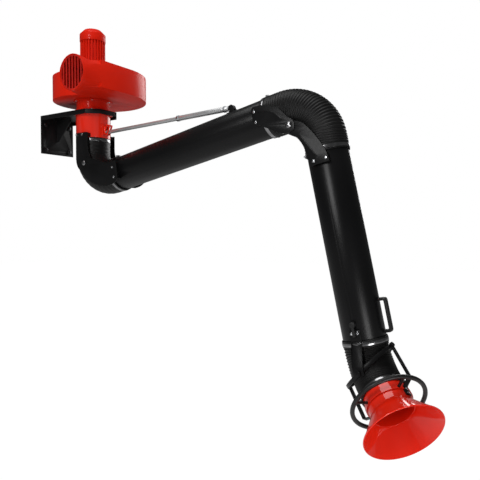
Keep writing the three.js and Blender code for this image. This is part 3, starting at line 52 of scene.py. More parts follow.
# Camera: stands below and to the right of the fan, looking back along the wall
# with a normal lens, so that the hood's mouth is seen from inside.
camera_lens = bpy.data.cameras.new("product_camera")
camera_lens.sensor_width = 36.0
camera_lens.lens = 40.5
camera = bpy.data.objects.new("product_camera", camera_lens)
scene.collection.objects.link(camera)
camera.location = (2.4309, -1.9112, -0.4666)
camera.rotation_mode = "QUATERNION"
camera.rotation_quaternion = Vector((-0.5474, 0.8364, -0.0300)).to_track_quat("-Z", "Y")
camera_lens.clip_start = 0.05
camera_lens.clip_end = 100.0
scene.camera = camera

# Studio: white paper floor far below the arm and a white surround,
# both seen as plain white, with the arm's soft shadow left on the paper.
floor_height = -2.3
bpy.ops.object.select_all(action="DESELECT")
bpy.ops.mesh.primitive_plane_add(size=40.0, location=(0.0, 0.0, floor_height))
studio_floor = bpy.context.object
studio_floor.name = "studio_floor"
paper = bpy.data.materials.new("white_paper")
paper.use_nodes = True
paper_nodes = paper.node_tree.nodes
paper_links = paper.node_tree.links
paper_nodes.clear()
paper_out = paper_nodes.new("ShaderNodeOutputMaterial")
paper_mix = paper_nodes.new("ShaderNodeMixShader")
paper_glow = paper_nodes.new("ShaderNodeEmission")
paper_glow.inputs["Strength"].default_value = 1.03
paper_matt = paper_nodes.new("ShaderNodeBsdfDiffuse")
paper_matt.inputs["Color"].default_value = (0.86, 0.86, 0.86, 1.0)
paper_path = paper_nodes.new("ShaderNodeLightPath")
paper_share = paper_nodes.new("ShaderNodeMath")
paper_share.operation = "MULTIPLY"
paper_share.inputs[1].default_value = 0.97
paper_links.new(paper_path.outputs["Is Camera Ray"], paper_share.inputs[0])
paper_links.new(paper_share.outputs[0], paper_mix.inputs[0])
paper_links.new(paper_matt.outputs[0], paper_mix.inputs[1])
paper_links.new(paper_glow.outputs[0], paper_mix.inputs[2])
paper_links.new(paper_mix.outputs[0], paper_out.inputs["Surface"])
studio_floor.data.materials.append(paper)

surround = bpy.data.worlds.new("white_surround")
scene.world = surround
surround.use_nodes = True
surround_nodes = surround.node_tree.nodes
surround_links = surround.node_tree.links
surround_nodes.clear()
surround_out = surround_nodes.new("ShaderNodeOutputWorld")
surround_mix = surround_nodes.new("ShaderNodeMixShader")
surround_seen = surround_nodes.new("ShaderNodeBackground")
surround_fill = surround_nodes.new("ShaderNodeBackground")
surround_fill.inputs["Strength"].default_value = 0.33
surround_path = surround_nodes.new("ShaderNodeLightPath")
surround_seen.inputs["Color"].default_value = (1.0, 1.0, 1.0, 1.0)
surround_fill.inputs["Color"].default_value = (1.0, 1.0, 1.0, 1.0)
surround_links.new(surround_path.outputs["Is Camera Ray"], surround_mix.inputs[0])
surround_dim = surround_nodes.new("ShaderNodeBackground")
surround_dim.inputs["Color"].default_value = (1.0, 1.0, 1.0, 1.0)
surround_dim.inputs["Strength"].default_value = 0.10
surround_shine = surround_nodes.new("ShaderNodeMixShader")
surround_links.new(surround_path.outputs["Is Glossy Ray"], surround_shine.inputs[0])
surround_links.new(surround_fill.outputs[0], surround_shine.inputs[1])
surround_links.new(surround_dim.outputs[0], surround_shine.inputs[2])
surround_links.new(surround_shine.outputs[0], surround_mix.inputs[1])
surround_links.new(surround_seen.outputs[0], surround_mix.inputs[2])
surround_links.new(surround_mix.outputs[0], surround_out.inputs["Surface"])


# Soft boxes: a tall one close to the camera's left, a wide one overhead, a weaker one
# low on the right that opens the hood's inside, and one behind for the far edges.
def soft_box(name, place, target, width, height, watts):
    lamp = bpy.data.lights.new(name, "AREA")
    lamp.shape = "RECTANGLE"
    lamp.size = width
    lamp.size_y = height
    lamp.energy = watts
    holder = bpy.data.objects.new(name, lamp)
    scene.collection.objects.link(holder)
    holder.location = place
    aim = Vector(target) - Vector(place)
    holder.rotation_mode = "QUATERNION"
    holder.rotation_quaternion = aim.to_track_quat("-Z", "Y")


soft_box("soft_box_front", (1.2, -2.9, 0.7), (1.0, 0.0, -0.1), 0.9, 1.3, 46.0)
soft_box("soft_box_top", (1.0, -0.5, 2.6), (0.9, 0.0, 0.0), 2.6, 1.6, 52.0)
soft_box("soft_box_low", (3.4, -1.4, -1.5), (1.7, 0.0, -0.9), 0.8, 0.8, 20.0)
soft_box("soft_box_back", (0.6, 2.8, 0.6), (0.9, 0.0, -0.2), 1.8, 1.8, 45.0)


# Wall bracket: bent and welded steel plate with a gusset, powder coated satin black,
# held to the wall by four dark passivated bolts with washers.
same_place = 0.00001


def finish(name, dark, light, rough, grain, metal=0.0, coat=0.0, bump=0.05, cloud=9.0, shine=0.5):
    # a principled surface with cloudy colour, uneven gloss and the coat's own fine texture
    made = bpy.data.materials.new(name)
    made.use_nodes = True
    nodes = made.node_tree.nodes
    links = made.node_tree.links
    shader = nodes["Principled BSDF"]
    shader.inputs["Metallic"].default_value = metal
    shader.inputs["Specular IOR Level"].default_value = shine
    shader.inputs["Coat Weight"].default_value = coat
    shader.inputs["Coat Roughness"].default_value = 0.04
    place = nodes.new("ShaderNodeTexCoord")
    patches = nodes.new("ShaderNodeTexNoise")
    patches.inputs["Scale"].default_value = cloud
    patches.inputs["Detail"].default_value = 5.0
    links.new(place.outputs["Object"], patches.inputs["Vector"])
    tone = nodes.new("ShaderNodeValToRGB")
    tone.color_ramp.elements[0].position = 0.32
    tone.color_ramp.elements[0].color = (*dark, 1.0)
    tone.color_ramp.elements[1].position = 0.68
    tone.color_ramp.elements[1].color = (*light, 1.0)
    links.new(patches.outputs["Fac"], tone.inputs["Fac"])
    links.new(tone.outputs["Color"], shader.inputs["Base Color"])
    speck = nodes.new("ShaderNodeTexNoise")
    speck.inputs["Scale"].default_value = grain
    speck.inputs["Detail"].default_value = 3.0
    links.new(place.outputs["Object"], speck.inputs["Vector"])
    gloss = nodes.new("ShaderNodeMapRange")
    gloss.inputs["From Min"].default_value = 0.3
    gloss.inputs["From Max"].default_value = 0.7
    gloss.inputs["To Min"].default_value = rough * 0.85
    gloss.inputs["To Max"].default_value = rough * 1.15
    links.new(speck.outputs["Fac"], gloss.inputs["Value"])
    links.new(gloss.outputs["Result"], shader.inputs["Roughness"])
    relief = nodes.new("ShaderNodeBump")
    relief.inputs["Strength"].default_value = bump
    relief.inputs["Distance"].default_value = 0.0004
    links.new(speck.outputs["Fac"], relief.inputs["Height"])
    links.new(relief.outputs["Normal"], shader.inputs["Normal"])
    return made


def dress(node, coat, edge, round_angle=34.0):
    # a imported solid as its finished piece: merged, hard edges broken, round where the real one is round
    cad = frame["nodes"][node]
    bodies = frame["record"]["behaviour"]["bodies"]
    body = [owner for owner, names in bodies.items() if node in names][0]
    piece = cad.copy()
    piece.data = cad.data.copy()
    piece.name = node + "_made"
    piece.parent = None
    piece.matrix_world = Matrix.Identity(4)
    scene.collection.objects.link(piece)
    bpy.ops.object.select_all(action="DESELECT")
    piece.select_set(True)
    bpy.context.view_layer.objects.active = piece
    if piece.data.has_custom_normals:
        bpy.ops.mesh.customdata_custom_splitnormals_clear()
    bpy.ops.object.mode_set(mode="EDIT")
    bpy.ops.mesh.select_all(action="SELECT")
    bpy.ops.mesh.remove_doubles(threshold=same_place)
    bpy.ops.mesh.dissolve_limited(angle_limit=math.radians(0.6))
    bpy.ops.object.mode_set(mode="OBJECT")
    worn = piece.modifiers.new("broken_edge", "BEVEL")
    worn.width = edge
    worn.segments = 2
    worn.limit_method = "ANGLE"
    worn.angle_limit = math.radians(round_angle + 6.0)
    bpy.ops.object.modifier_apply(modifier=worn.name)
    bpy.ops.object.shade_smooth_by_angle(angle=math.radians(round_angle))
    piece.data.materials.clear()
    piece.data.materials.append(coat)
    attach(piece, body)
    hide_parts(node)


satin_black = finish("satin_black_coat", (0.003, 0.003, 0.0033), (0.006, 0.006, 0.0063), 0.38, 900.0,
                     bump=0.10, shine=0.18)
dark_steel = finish("dark_steel", (0.045, 0.045, 0.048), (0.075, 0.075, 0.08), 0.34, 420.0,
                    metal=1.0, bump=0.06, cloud=60.0)
band_steel = finish("band_steel", (0.20, 0.20, 0.205), (0.30, 0.30, 0.305), 0.20, 420.0,
                    metal=1.0, bump=0.05, cloud=60.0)
zinc_plate = finish("bright_zinc", (0.50, 0.51, 0.53), (0.66, 0.67, 0.68), 0.24, 420.0,
                    metal=1.0, bump=0.06, cloud=60.0)
dress("wall_bracket", satin_black, 0.0009)
for number in (1, 2, 3, 4):
    dress(f"wall_bolt_{number}", dark_steel, 0.0004)

# Fan: neck, scroll and outlet of folded and welded sheet steel with a satin red coat.
# The neck's flanges are screwed to the shelf and the scroll, the guard is pressed into the outlet.
fan_red = finish("fan_red_coat", (0.54, 0.010, 0.002), (0.62, 0.014, 0.003), 0.42, 700.0,
                 coat=0.10, shine=0.07, bump=0.05, cloud=4.0)
dress("fan_neck", fan_red, 0.0007)
dress("scroll_housing", fan_red, 0.0012)
# The guard and the cowl's wires take the fan's red drawn darker, as painted shade inside the outlet and under
# the cowl.
shaded_guard_red = finish("guard_red_painted_shade", (0.40, 0.010, 0.006), (0.48, 0.014, 0.008), 0.34, 700.0,
                   coat=0.1, shine=0.25, bump=0.05, cloud=6.0)
dress("outlet_grille", shaded_guard_red, 0.0006)

# Outlet corners: four three cornered steel sheets, welded in to close the corners
# of the scroll's square end where it meets the round outlet, and sprayed with the fan.
outlet_middle = Vector((0.468, -0.2008, 0.211))
corner_outline = ((0.0976, 0.0596), (0.0976, 0.0385), (0.0560, 0.0596))
for number, (right, up) in enumerate(((1, 1), (1, -1), (-1, 1), (-1, -1)), 1):
    bpy.ops.object.select_all(action="DESELECT")
    bpy.ops.mesh.primitive_circle_add(vertices=3, radius=0.01, fill_type="NGON")
    corner_sheet = bpy.context.object
    corner_sheet.name = f"outlet_corner_{number}"
    for vertex, (x, z) in zip(corner_sheet.data.vertices, corner_outline):
        vertex.co = outlet_middle + Vector((right * x, 0.0, up * z))
    sheet = corner_sheet.modifiers.new("sheet", "SOLIDIFY")
    sheet.thickness = 0.0014
    sheet.offset = 0.0
    bpy.ops.object.modifier_apply(modifier=sheet.name)
    bpy.ops.object.mode_set(mode="EDIT")
    bpy.ops.mesh.select_all(action="SELECT")
    bpy.ops.mesh.normals_make_consistent(inside=False)
    bpy.ops.object.mode_set(mode="OBJECT")
    corner_sheet.data.materials.append(fan_red)
    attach(corner_sheet, "base")

# Motor: ribbed cast alloy body with a pressed cowl over its cooling fan and a terminal box,
# all sprayed with the fan in the same red. It stands on the scroll, and its shaft
# carries the impeller below and the cooling fan above.
dress("motor_body", fan_red, 0.0006, 24.0)
dress("motor_cowl", fan_red, 0.0010)
dress("terminal_box", fan_red, 0.0025)
bare_alloy = finish("bare_alloy", (0.52, 0.53, 0.54), (0.62, 0.63, 0.64), 0.34, 300.0,
                    metal=1.0, bump=0.05, cloud=30.0)
dress("impeller", bare_alloy, 0.0004)
dress("motor_shaft", zinc_plate, 0.0008)
moulded_black = finish("moulded_black", (0.005, 0.005, 0.005), (0.009, 0.009, 0.009), 0.42, 1300.0,
                       bump=0.14, shine=0.4)
dress("cooling_fan", moulded_black, 0.0004)

# Swivel: a red spun collar that hangs by its flange from three clips,
# running on a pale plastic slide ring under the bracket's shelf.
pale_plastic = finish("pale_plastic", (0.66, 0.65, 0.61), (0.74, 0.73, 0.69), 0.5, 900.0, bump=0.05)
dress("slide_ring", pale_plastic, 0.0003)
for number in (1, 2, 3):
    dress(f"swivel_clip_{number}", satin_black, 0.0006)
gloss_red = finish("gloss_red_coat", (0.66, 0.012, 0.003), (0.74, 0.017, 0.004), 0.34, 700.0,
                   coat=0.8, shine=0.07, bump=0.05, cloud=4.0)
dress("swivel_collar", gloss_red, 0.0008)

# Tubes: thin steel duct tube, powder coated satin black inside and out,
# each held by its hinge plates and pushed into the hoses at both ends.
tube_black = finish("tube_black_coat", (0.0026, 0.0026, 0.0029), (0.005, 0.005, 0.0053), 0.32, 1100.0,
                    bump=0.08, cloud=3.0, shine=0.18)
for tube in ("upper_tube", "lower_tube"):
    dress(tube, tube_black, 0.0005)

# Hinge plates: pressed steel straps and cheeks at the shoulder, ribbed arms at the elbow,
# screwed to the collar and the tubes, and joined in pairs by domed pivot bolts.
for side in ("near", "far"):
    dress(f"shoulder_strap_{side}", satin_black, 0.0010)
    dress(f"shoulder_cheek_{side}", satin_black, 0.0012)
    dress(f"elbow_arm_upper_{side}", satin_black, 0.0010)
    dress(f"elbow_arm_lower_{side}", satin_black, 0.0010)
    dress(f"shoulder_bolt_{side}", band_steel, 0.0006)
    dress(f"elbow_bolt_{side}", band_steel, 0.0006)

# Band clamps: dark passivated steel strip round each end of the three hoses,
# drawn tight on the hose's cuff by a worm screw in its housing.
for clamp in ("shoulder_clamp_top", "shoulder_clamp_low", "elbow_clamp_upper", "elbow_clamp_lower",
              "hood_clamp_upper", "hood_clamp_lower"):
    dress(clamp, band_steel, 0.0003)

# Gas spring: silver grey tube over a thinner cylinder, on a lug of the upper tube
# and in a slotted clevis that is welded to the collar and sprayed with it.
silver_coat = finish("silver_coat", (0.52, 0.525, 0.53), (0.62, 0.625, 0.63), 0.30, 600.0,
                     metal=0.7, bump=0.05, cloud=20.0)
dress("spring_sleeve", silver_coat, 0.0006)
dress("spring_cylinder", silver_coat, 0.0006)
dress("spring_clevis", gloss_red, 0.0008)
dress("spring_lug", satin_black, 0.0008)

# Spring bands: two bright zinc plated rings pressed on the spring's sleeve,
# a ferrule at its open end and a clip ring at its cap.
spring_foot = Vector((0.389, 0.0, -0.009))
sleeve_way = Vector((0.751, 0.0, 0.033)).normalized()
sleeve_bands = (("spring_ferrule", 0.4575, 0.0134, 0.011), ("spring_clip", 0.7150, 0.0138, 0.008))
sleeve_radius = 0.0116


def stand_at(place, way):
    # the move that sets a piece made upright at the origin on a place, its top pointing along a way
    return Matrix.Translation(place) @ way.to_track_quat("Z", "Y").to_matrix().to_4x4()


def rolled_band(name, sides, radius, width, gauge, edge, edge_steps):
    # an open ring of sheet with rounded edges, made upright at the origin
    bpy.ops.object.select_all(action="DESELECT")
    bpy.ops.mesh.primitive_cylinder_add(vertices=sides, radius=radius, depth=width, end_fill_type="NOTHING")
    made = bpy.context.object
    made.name = name
    wall = made.modifiers.new("wall", "SOLIDIFY")
    wall.thickness = gauge
    wall.offset = -1.0
    bpy.ops.object.modifier_apply(modifier=wall.name)
    rolled = made.modifiers.new("rolled_edge", "BEVEL")
    rolled.width = edge
    rolled.segments = edge_steps
    rolled.limit_method = "ANGLE"
    bpy.ops.object.modifier_apply(modifier=rolled.name)
    bpy.ops.object.shade_smooth_by_angle(angle=math.radians(34.0))
    return made


for band_name, along, radius, width in sleeve_bands:
    band = rolled_band(band_name, 48, radius, width, radius - sleeve_radius, 0.0004, 2)
    band.data.transform(stand_at(spring_foot + along * sleeve_way, sleeve_way))
    band.data.materials.append(zinc_plate)
    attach(band, "spring_outer")

# Pull handle and damper: a bail of moulded black plastic that stands on the lower tube,
# and a zinc plated throttle plate on a spindle through the tube, turned by a moulded lever knob.
dress("arm_handle", moulded_black, 0.0030)
dress("damper_plate", zinc_plate, 0.0004)
dress("damper_knob", moulded_black, 0.0012)

# Hood joint: two joggled forks, a gimbal ring with four pins and two hood brackets,
# all of black coated steel plate, screwed to the lower tube and to the hood's neck.
for plate in ("hood_fork_near", "hood_fork_far", "gimbal_ring", "hood_bracket_inner", "hood_bracket_outer"):
    dress(plate, satin_black, 0.0008)

# Shoulder hose: smooth coated fabric duct that bends from the collar to the upper tube,
# slipped over both and held by the clamps.
hose_black = finish("hose_black", (0.003, 0.003, 0.003), (0.0065, 0.0065, 0.0065), 0.46, 1600.0,
                    bump=0.12, cloud=14.0, shine=0.22)
axis_x = 0.285
upper_angle = math.radians(12.16)
lower_angle = math.radians(-77.75)
upper_dir = Vector((math.cos(upper_angle), 0.0, math.sin(upper_angle)))
lower_dir = Vector((math.cos(lower_angle), 0.0, math.sin(lower_angle)))
upper_start = Vector((axis_x, 0.0, -0.263))
corner = upper_start + 1.280 * upper_dir
across = Vector((0.0, 1.0, 0.0))
cuff_length = 0.026
cuff_radius = 0.0839
cloth_gauge = 0.0014


def bent_way(start, way_in, bend, way_out, end, radius, count):
    # evenly spaced places and directions along two straight runs with one round bend between them
    angle = way_in.angle(way_out)
    cut = radius * math.tan(angle / 2)
    arc_from = bend - cut * way_in
    arc_to = bend + cut * way_out
    inward = (way_out - way_out.dot(way_in) * way_in).normalized()
    centre = arc_from + radius * inward
    straight_in = (arc_from - start).length
    arc = radius * angle
    total = straight_in + arc + (end - arc_to).length
    stations = []
    for i in range(count + 1):
        gone = total * i / count
        if gone < straight_in:
            stations.append((start + gone * way_in, way_in))
        elif gone < straight_in + arc:
            turned = (gone - straight_in) / radius
            stations.append((centre - radius * math.cos(turned) * inward + radius * math.sin(turned) * way_in,
                             math.cos(turned) * way_in + math.sin(turned) * inward))
        else:
            stations.append((arc_to + (gone - straight_in - arc) * way_out, way_out))
    return stations, total


def lay_hose(name, stations, side, radius_at, around):
    # a thin walled hose of changing radius, wrapped round the stations from a flat grid
    count = len(stations) - 1
    bpy.ops.object.select_all(action="DESELECT")
    bpy.ops.mesh.primitive_grid_add(x_subdivisions=around, y_subdivisions=count, size=1.0)
    hose = bpy.context.object
    hose.name = name
    places = np.zeros(len(hose.data.vertices) * 3)
    hose.data.vertices.foreach_get("co", places)
    places = places.reshape(-1, 3)
    for i in range(len(places)):
        turn = 2 * math.pi * (places[i, 0] + 0.5)
        share = min(max(places[i, 1] + 0.5, 0.0), 1.0)
        point, way = stations[round(share * count)]
        square = (side - side.dot(way) * way).normalized()
        radius = radius_at(share)
        places[i] = point + radius * math.cos(turn) * square + radius * math.sin(turn) * way.cross(square)
    hose.data.vertices.foreach_set("co", places.ravel())
    bpy.ops.object.mode_set(mode="EDIT")
    bpy.ops.mesh.select_all(action="SELECT")
    bpy.ops.mesh.remove_doubles(threshold=same_place)
    bpy.ops.mesh.normals_make_consistent(inside=False)
    bpy.ops.object.mode_set(mode="OBJECT")
    skin = hose.modifiers.new("cloth_wall", "SOLIDIFY")
    skin.thickness = cloth_gauge
    skin.offset = -1.0
    bpy.ops.object.modifier_apply(modifier=skin.name)
    bpy.ops.object.shade_smooth()
    hose.data.materials.append(hose_black)
    return hose


shoulder_way, shoulder_length = bent_way(
    Vector((axis_x, 0.0, -0.0363)), Vector((0.0, 0.0, -1.0)), upper_start, upper_dir,
    upper_start + 0.214 * upper_dir, 0.125, 150)
fold_pitch = 0.019
fold_root = 0.0830
fold_height = 0.0009


def shoulder_radius(share):
    near_end = min(share, 1.0 - share) * shoulder_length
    if near_end < cuff_length:
        return cuff_radius
    fold = 0.5 - 0.5 * math.cos(2 * math.pi * share * shoulder_length / fold_pitch)
    return fold_root + fold_height * fold


shoulder_hose = lay_hose("shoulder_duct_hose", shoulder_way, across, shoulder_radius, 64)
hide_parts("shoulder_hose")
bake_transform(shoulder_hose)

# Elbow hose: ribbed duct of coated fabric over a wire helix, bent between the two tubes
# inside the hinge arms and clamped on both.
elbow_way, elbow_length = bent_way(
    upper_start + 1.063 * upper_dir, upper_dir, corner, lower_dir, corner + 0.212 * lower_dir, 0.148, 340)
elbow_ribs = 34
elbow_root = 0.0822
elbow_crest = 0.0028
ribbed_sides = 56


def ribbed_radius(share, length, ribs, cuff_start, cuff_end, root, crest):
    # round ribs from root to crest between two plain cuffs
    if share * length < cuff_start or (1.0 - share) * length < cuff_end:
        return cuff_radius
    span = length - cuff_start - cuff_end
    turn = (share * length - cuff_start) / span * ribs
    wave = 0.5 - 0.5 * math.cos(2 * math.pi * turn)
    return root + crest * wave ** 1.4


def elbow_radius(share):
    return ribbed_radius(share, elbow_length, elbow_ribs, cuff_length, cuff_length, elbow_root, elbow_crest)


elbow_hose = lay_hose("elbow_duct_hose", elbow_way, across, elbow_radius, ribbed_sides)
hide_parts("elbow_hose")
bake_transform(elbow_hose)

# Hood hose: the same ribbed duct on one slack bend through the gimbal ring, clamped to
# the lower tube and the hood's neck, in two halves: one follows the fork and one the hood.
gimbal = corner + 1.020 * lower_dir
ring_angle = lower_angle + math.radians(36.15)
ring_dir = Vector((math.cos(ring_angle), 0.0, math.sin(ring_angle)))
ring_square = Vector((-math.sin(ring_angle), 0.0, math.cos(ring_angle)))
hood_roll = math.radians(-35.9)
hood_dir = math.cos(hood_roll) * ring_dir + math.sin(hood_roll) * across
hood_side = math.cos(hood_roll) * across - math.sin(hood_roll) * ring_dir
hood_steps = 230
hood_way, hood_way_length = bent_way(
    corner + 0.914 * lower_dir, lower_dir, gimbal, hood_dir, gimbal + 0.138 * hood_dir, 0.170, hood_steps)
hood_split = round(0.45 * hood_steps)
hood_upper_length = hood_way_length * hood_split / hood_steps
hood_lower_length = hood_way_length - hood_upper_length
hood_upper_ribs = 8
hood_lower_ribs = 12
hood_root = 0.0800
hood_crest = 0.0026


def hood_upper_radius(share):
    return ribbed_radius(share, hood_upper_length, hood_upper_ribs, cuff_length, 0.0, hood_root, hood_crest)


def hood_lower_radius(share):
    return ribbed_radius(share, hood_lower_length, hood_lower_ribs, 0.0, cuff_length, hood_root, hood_crest)


hood_hose_upper = lay_hose("hood_duct_hose_upper", hood_way[:hood_split + 1], ring_square,
                           hood_upper_radius, ribbed_sides)
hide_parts("hood_hose_upper")
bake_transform(hood_hose_upper)
hood_hose_lower = lay_hose("hood_duct_hose_lower", hood_way[hood_split:], ring_square,
                           hood_lower_radius, ribbed_sides)
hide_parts("hood_hose_lower")
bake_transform(hood_hose_lower)


# Hood: a bell mouth of spun sheet steel, gloss red inside and out, straight where the hose
# is clamped on and the brackets are screwed, then a wide flare that ends in a rolled rim.
def spun(name, profile, coat):
    # a closed profile of radius and distance from the gimbal, turned round the hood's axis
    steps = len(profile) - 1
    bpy.ops.object.select_all(action="DESELECT")
    bpy.ops.mesh.primitive_grid_add(x_subdivisions=112, y_subdivisions=steps, size=1.0)
    piece = bpy.context.object
    piece.name = name
    for vertex in piece.data.vertices:
        turn = 2 * math.pi * (vertex.co.x + 0.5)
        radius, along = profile[round((vertex.co.y + 0.5) * steps)]
        vertex.co = (gimbal + along * hood_dir + radius * math.cos(turn) * ring_square
                     + radius * math.sin(turn) * hood_side)
    bpy.ops.object.mode_set(mode="EDIT")
    bpy.ops.mesh.select_all(action="SELECT")
    bpy.ops.mesh.remove_doubles(threshold=same_place)
    bpy.ops.mesh.normals_make_consistent(inside=False)
    bpy.ops.object.mode_set(mode="OBJECT")
    bpy.ops.object.shade_smooth_by_angle(angle=math.radians(40.0))
    piece.data.materials.append(coat)
    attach(piece, "hood_group")
    return piece


neck_radius = 0.080
neck_from = 0.112
mouth_radius = 0.138
flare_from = 0.200
mouth_at = 0.287
soften = 0.1
gauge = 0.0025
flare_steps = 28
rim_steps = 8
flare = []
for step in range(flare_steps + 1):
    share = step / flare_steps
    rise = (math.sqrt(share * share + soften * soften) - soften) / (math.sqrt(1 + soften * soften) - soften)
    flare.append((neck_radius + (mouth_radius - neck_radius) * rise,
                  flare_from + (mouth_at - flare_from) * share))
rim = []
for step in range(1, rim_steps + 1):
    turn = math.pi * step / rim_steps
    rim.append((mouth_radius + gauge * math.sin(turn), mouth_at + gauge - gauge * math.cos(turn)))
inside = [(radius - gauge, along + 0.0015) for radius, along in reversed(flare)]
neck_end = [(neck_radius - gauge, neck_from), (neck_radius, neck_from)]
hood = spun("hood_made", [(neck_radius, neck_from)] + flare + rim + inside + neck_end, gloss_red)
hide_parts("hood")

# Ring handle: a round black moulded ring on four spokes, on a band that is clamped
# round the hood's neck and sprayed with it.
handle_middle = gimbal + 0.168 * hood_dir
band_inner = 0.0806
band_outer = 0.0842
band_from = 0.160
band_to = 0.176
bpy.ops.object.select_all(action="DESELECT")
bpy.ops.mesh.primitive_torus_add(major_radius=0.131, minor_radius=0.008, major_segments=120,
                                 minor_segments=20)
ring_handle = bpy.context.object
ring_handle.name = "ring_handle_made"
ring_handle.data.transform(stand_at(handle_middle, hood_dir))
spokes = []
for degrees in (20.0, 110.0, 200.0, 290.0):
    turn = math.radians(degrees)
    outward = math.cos(turn) * ring_square - math.sin(turn) * hood_side
    bpy.ops.mesh.primitive_cylinder_add(vertices=28, radius=0.005, depth=0.047)
    spoke = bpy.context.object
    spoke.data.transform(stand_at(handle_middle + 0.1070 * outward, outward))
    spokes.append(spoke)
for spoke in spokes:
    spoke.select_set(True)
ring_handle.select_set(True)
bpy.context.view_layer.objects.active = ring_handle
bpy.ops.object.join()
bpy.ops.object.shade_smooth_by_angle(angle=math.radians(40.0))
ring_handle.data.materials.append(moulded_black)
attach(ring_handle, "hood_group")
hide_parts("ring_handle")
band_profile = [(band_inner, band_from), (band_outer, band_from), (band_outer, band_to),
                (band_inner, band_to), (band_inner, band_from)]
spun("handle_band", band_profile, gloss_red)

# Throat: a short red sheet steel sleeve pressed into the hood's neck,
# whose rolled end shows in the mouth.
throat = rolled_band("hood_throat", 96, 0.0768, 0.058, 0.0022, 0.0009, 3)
throat.data.transform(stand_at(gimbal + 0.179 * hood_dir, hood_dir))
throat.data.materials.append(gloss_red)
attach(throat, "hood_group")

# Button screws: zinc plated, with a recessed socket, in the straps, cheeks, elbow arms,
# forks, hood brackets and the fan's neck flanges. One is made and copied to each place.
bpy.ops.object.select_all(action="DESELECT")
bpy.ops.mesh.primitive_cylinder_add(vertices=30, radius=0.0056, depth=0.0034, location=(0.0, 0.0, 0.0015))
screw_master = bpy.context.object
screw_master.name = "button_screw_master"
bpy.ops.object.transform_apply(location=True, rotation=True, scale=True)
for face in screw_master.data.polygons:
    face.select = face.normal.z > 0.9
bpy.ops.object.mode_set(mode="EDIT")
bpy.ops.mesh.select_mode(type="FACE")
bpy.ops.mesh.bevel(offset=0.0013, segments=3, affect="EDGES")
bpy.ops.object.mode_set(mode="OBJECT")
for face in screw_master.data.polygons:
    face.select = face.normal.z > 0.98 and face.center.xy.length < 0.0005
bpy.ops.object.mode_set(mode="EDIT")
bpy.ops.mesh.inset(thickness=0.0019, depth=0.0)
bpy.ops.mesh.inset(thickness=0.0002, depth=-0.0018)
bpy.ops.object.mode_set(mode="OBJECT")
bpy.ops.object.shade_smooth_by_angle(angle=math.radians(30.0))
screw_master.data.materials.append(zinc_plate)
screws = []


def screw_in(place, out, body):
    screw = screw_master.copy()
    screw.data = screw_master.data.copy()
    screws.append(screw)
    screw.name = f"button_screw_{len(screws)}"
    scene.collection.objects.link(screw)
    screw.data.transform(stand_at(place, out))
    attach(screw, body)


strap_face = 0.091
cheek_face = 0.0954
fork_face = 0.0846
upper_square = Vector((-upper_dir.z, 0.0, upper_dir.x))
lower_square = Vector((-lower_dir.z, 0.0, lower_dir.x))
for side in (-1.0, 1.0):
    outward = side * across
    for x in (-0.020, 0.020):
        screw_in(Vector((axis_x + x, side * strap_face, -0.024)), outward, "collar")
    for up in (0.014, -0.034):
        spot = upper_start + 0.242 * upper_dir + up * upper_square
        screw_in(spot + cheek_face * outward, outward, "upper_arm")
    for up in (0.014, -0.028):
        spot = corner - 0.231 * upper_dir + up * upper_square
        screw_in(spot + cheek_face * outward, outward, "upper_arm")
    for up in (0.025, -0.025):
        spot = corner + 0.243 * lower_dir + up * lower_square
        screw_in(spot + strap_face * outward, outward, "lower_arm")
    for up in (0.011, -0.011):
        spot = corner + 0.885 * lower_dir + up * lower_square
        screw_in(spot + fork_face * outward, outward, "lower_arm")
    for along in (0.174, 0.190):
        spot = gimbal + along * hood_dir
        screw_in(spot + side * fork_face * ring_square, side * ring_square, "hood_group")
upright = Vector((0.0, 0.0, 1.0))
flange_circle = 0.090
for number in range(6):
    angle = math.radians(60.0 * number + 15.0)
    spot = Vector((axis_x + flange_circle * math.cos(angle), flange_circle * math.sin(angle), 0.0))
    screw_in(spot + 0.1017 * upright, upright, "base")
    screw_in(spot + 0.1468 * upright, -upright, "base")

# Terminal box lid: a pressed red cover over the box's outer face, on four button screws,
# with a black cable gland screwed into the near wall.
bpy.ops.object.select_all(action="DESELECT")
bpy.ops.mesh.primitive_cube_add(size=1.0, location=(0.3910, 0.0, 0.3053))
box_lid = bpy.context.object
box_lid.name = "terminal_box_lid"
box_lid.scale = (0.0034, 0.0690, 0.0526)
bpy.ops.object.transform_apply(location=True, rotation=True, scale=True)
lid_edge = box_lid.modifiers.new("rolled_edge", "BEVEL")
lid_edge.width = 0.0012
lid_edge.segments = 3
bpy.ops.object.modifier_apply(modifier=lid_edge.name)
bpy.ops.object.shade_smooth_by_angle(angle=math.radians(34.0))
box_lid.data.materials.append(fan_red)
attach(box_lid, "base")
for y in (-0.027, 0.027):
    for z in (0.286, 0.3246):
        screw_in(Vector((0.3927, y, z)), Vector((1.0, 0.0, 0.0)), "base")
lying = (math.radians(90.0), 0.0, 0.0)
bpy.ops.object.select_all(action="DESELECT")
bpy.ops.mesh.primitive_cylinder_add(vertices=6, radius=0.0105, depth=0.007, location=(0.368, -0.0362, 0.308),
                                    rotation=lying)
gland_nut = bpy.context.object
bpy.ops.mesh.primitive_cylinder_add(vertices=40, radius=0.0082, depth=0.012, location=(0.368, -0.0450, 0.308),
                                    rotation=lying)
gland = bpy.context.object
gland_nut.select_set(True)
bpy.ops.object.join()
gland.name = "cable_gland"
bpy.ops.object.transform_apply(location=True, rotation=True, scale=True)
gland_edge = gland.modifiers.new("moulded_edge", "BEVEL")
gland_edge.width = 0.0012
gland_edge.segments = 2
gland_edge.limit_method = "ANGLE"
bpy.ops.object.modifier_apply(modifier=gland_edge.name)
bpy.ops.object.shade_smooth_by_angle(angle=math.radians(30.0))
gland.data.materials.append(moulded_black)
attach(gland, "base")
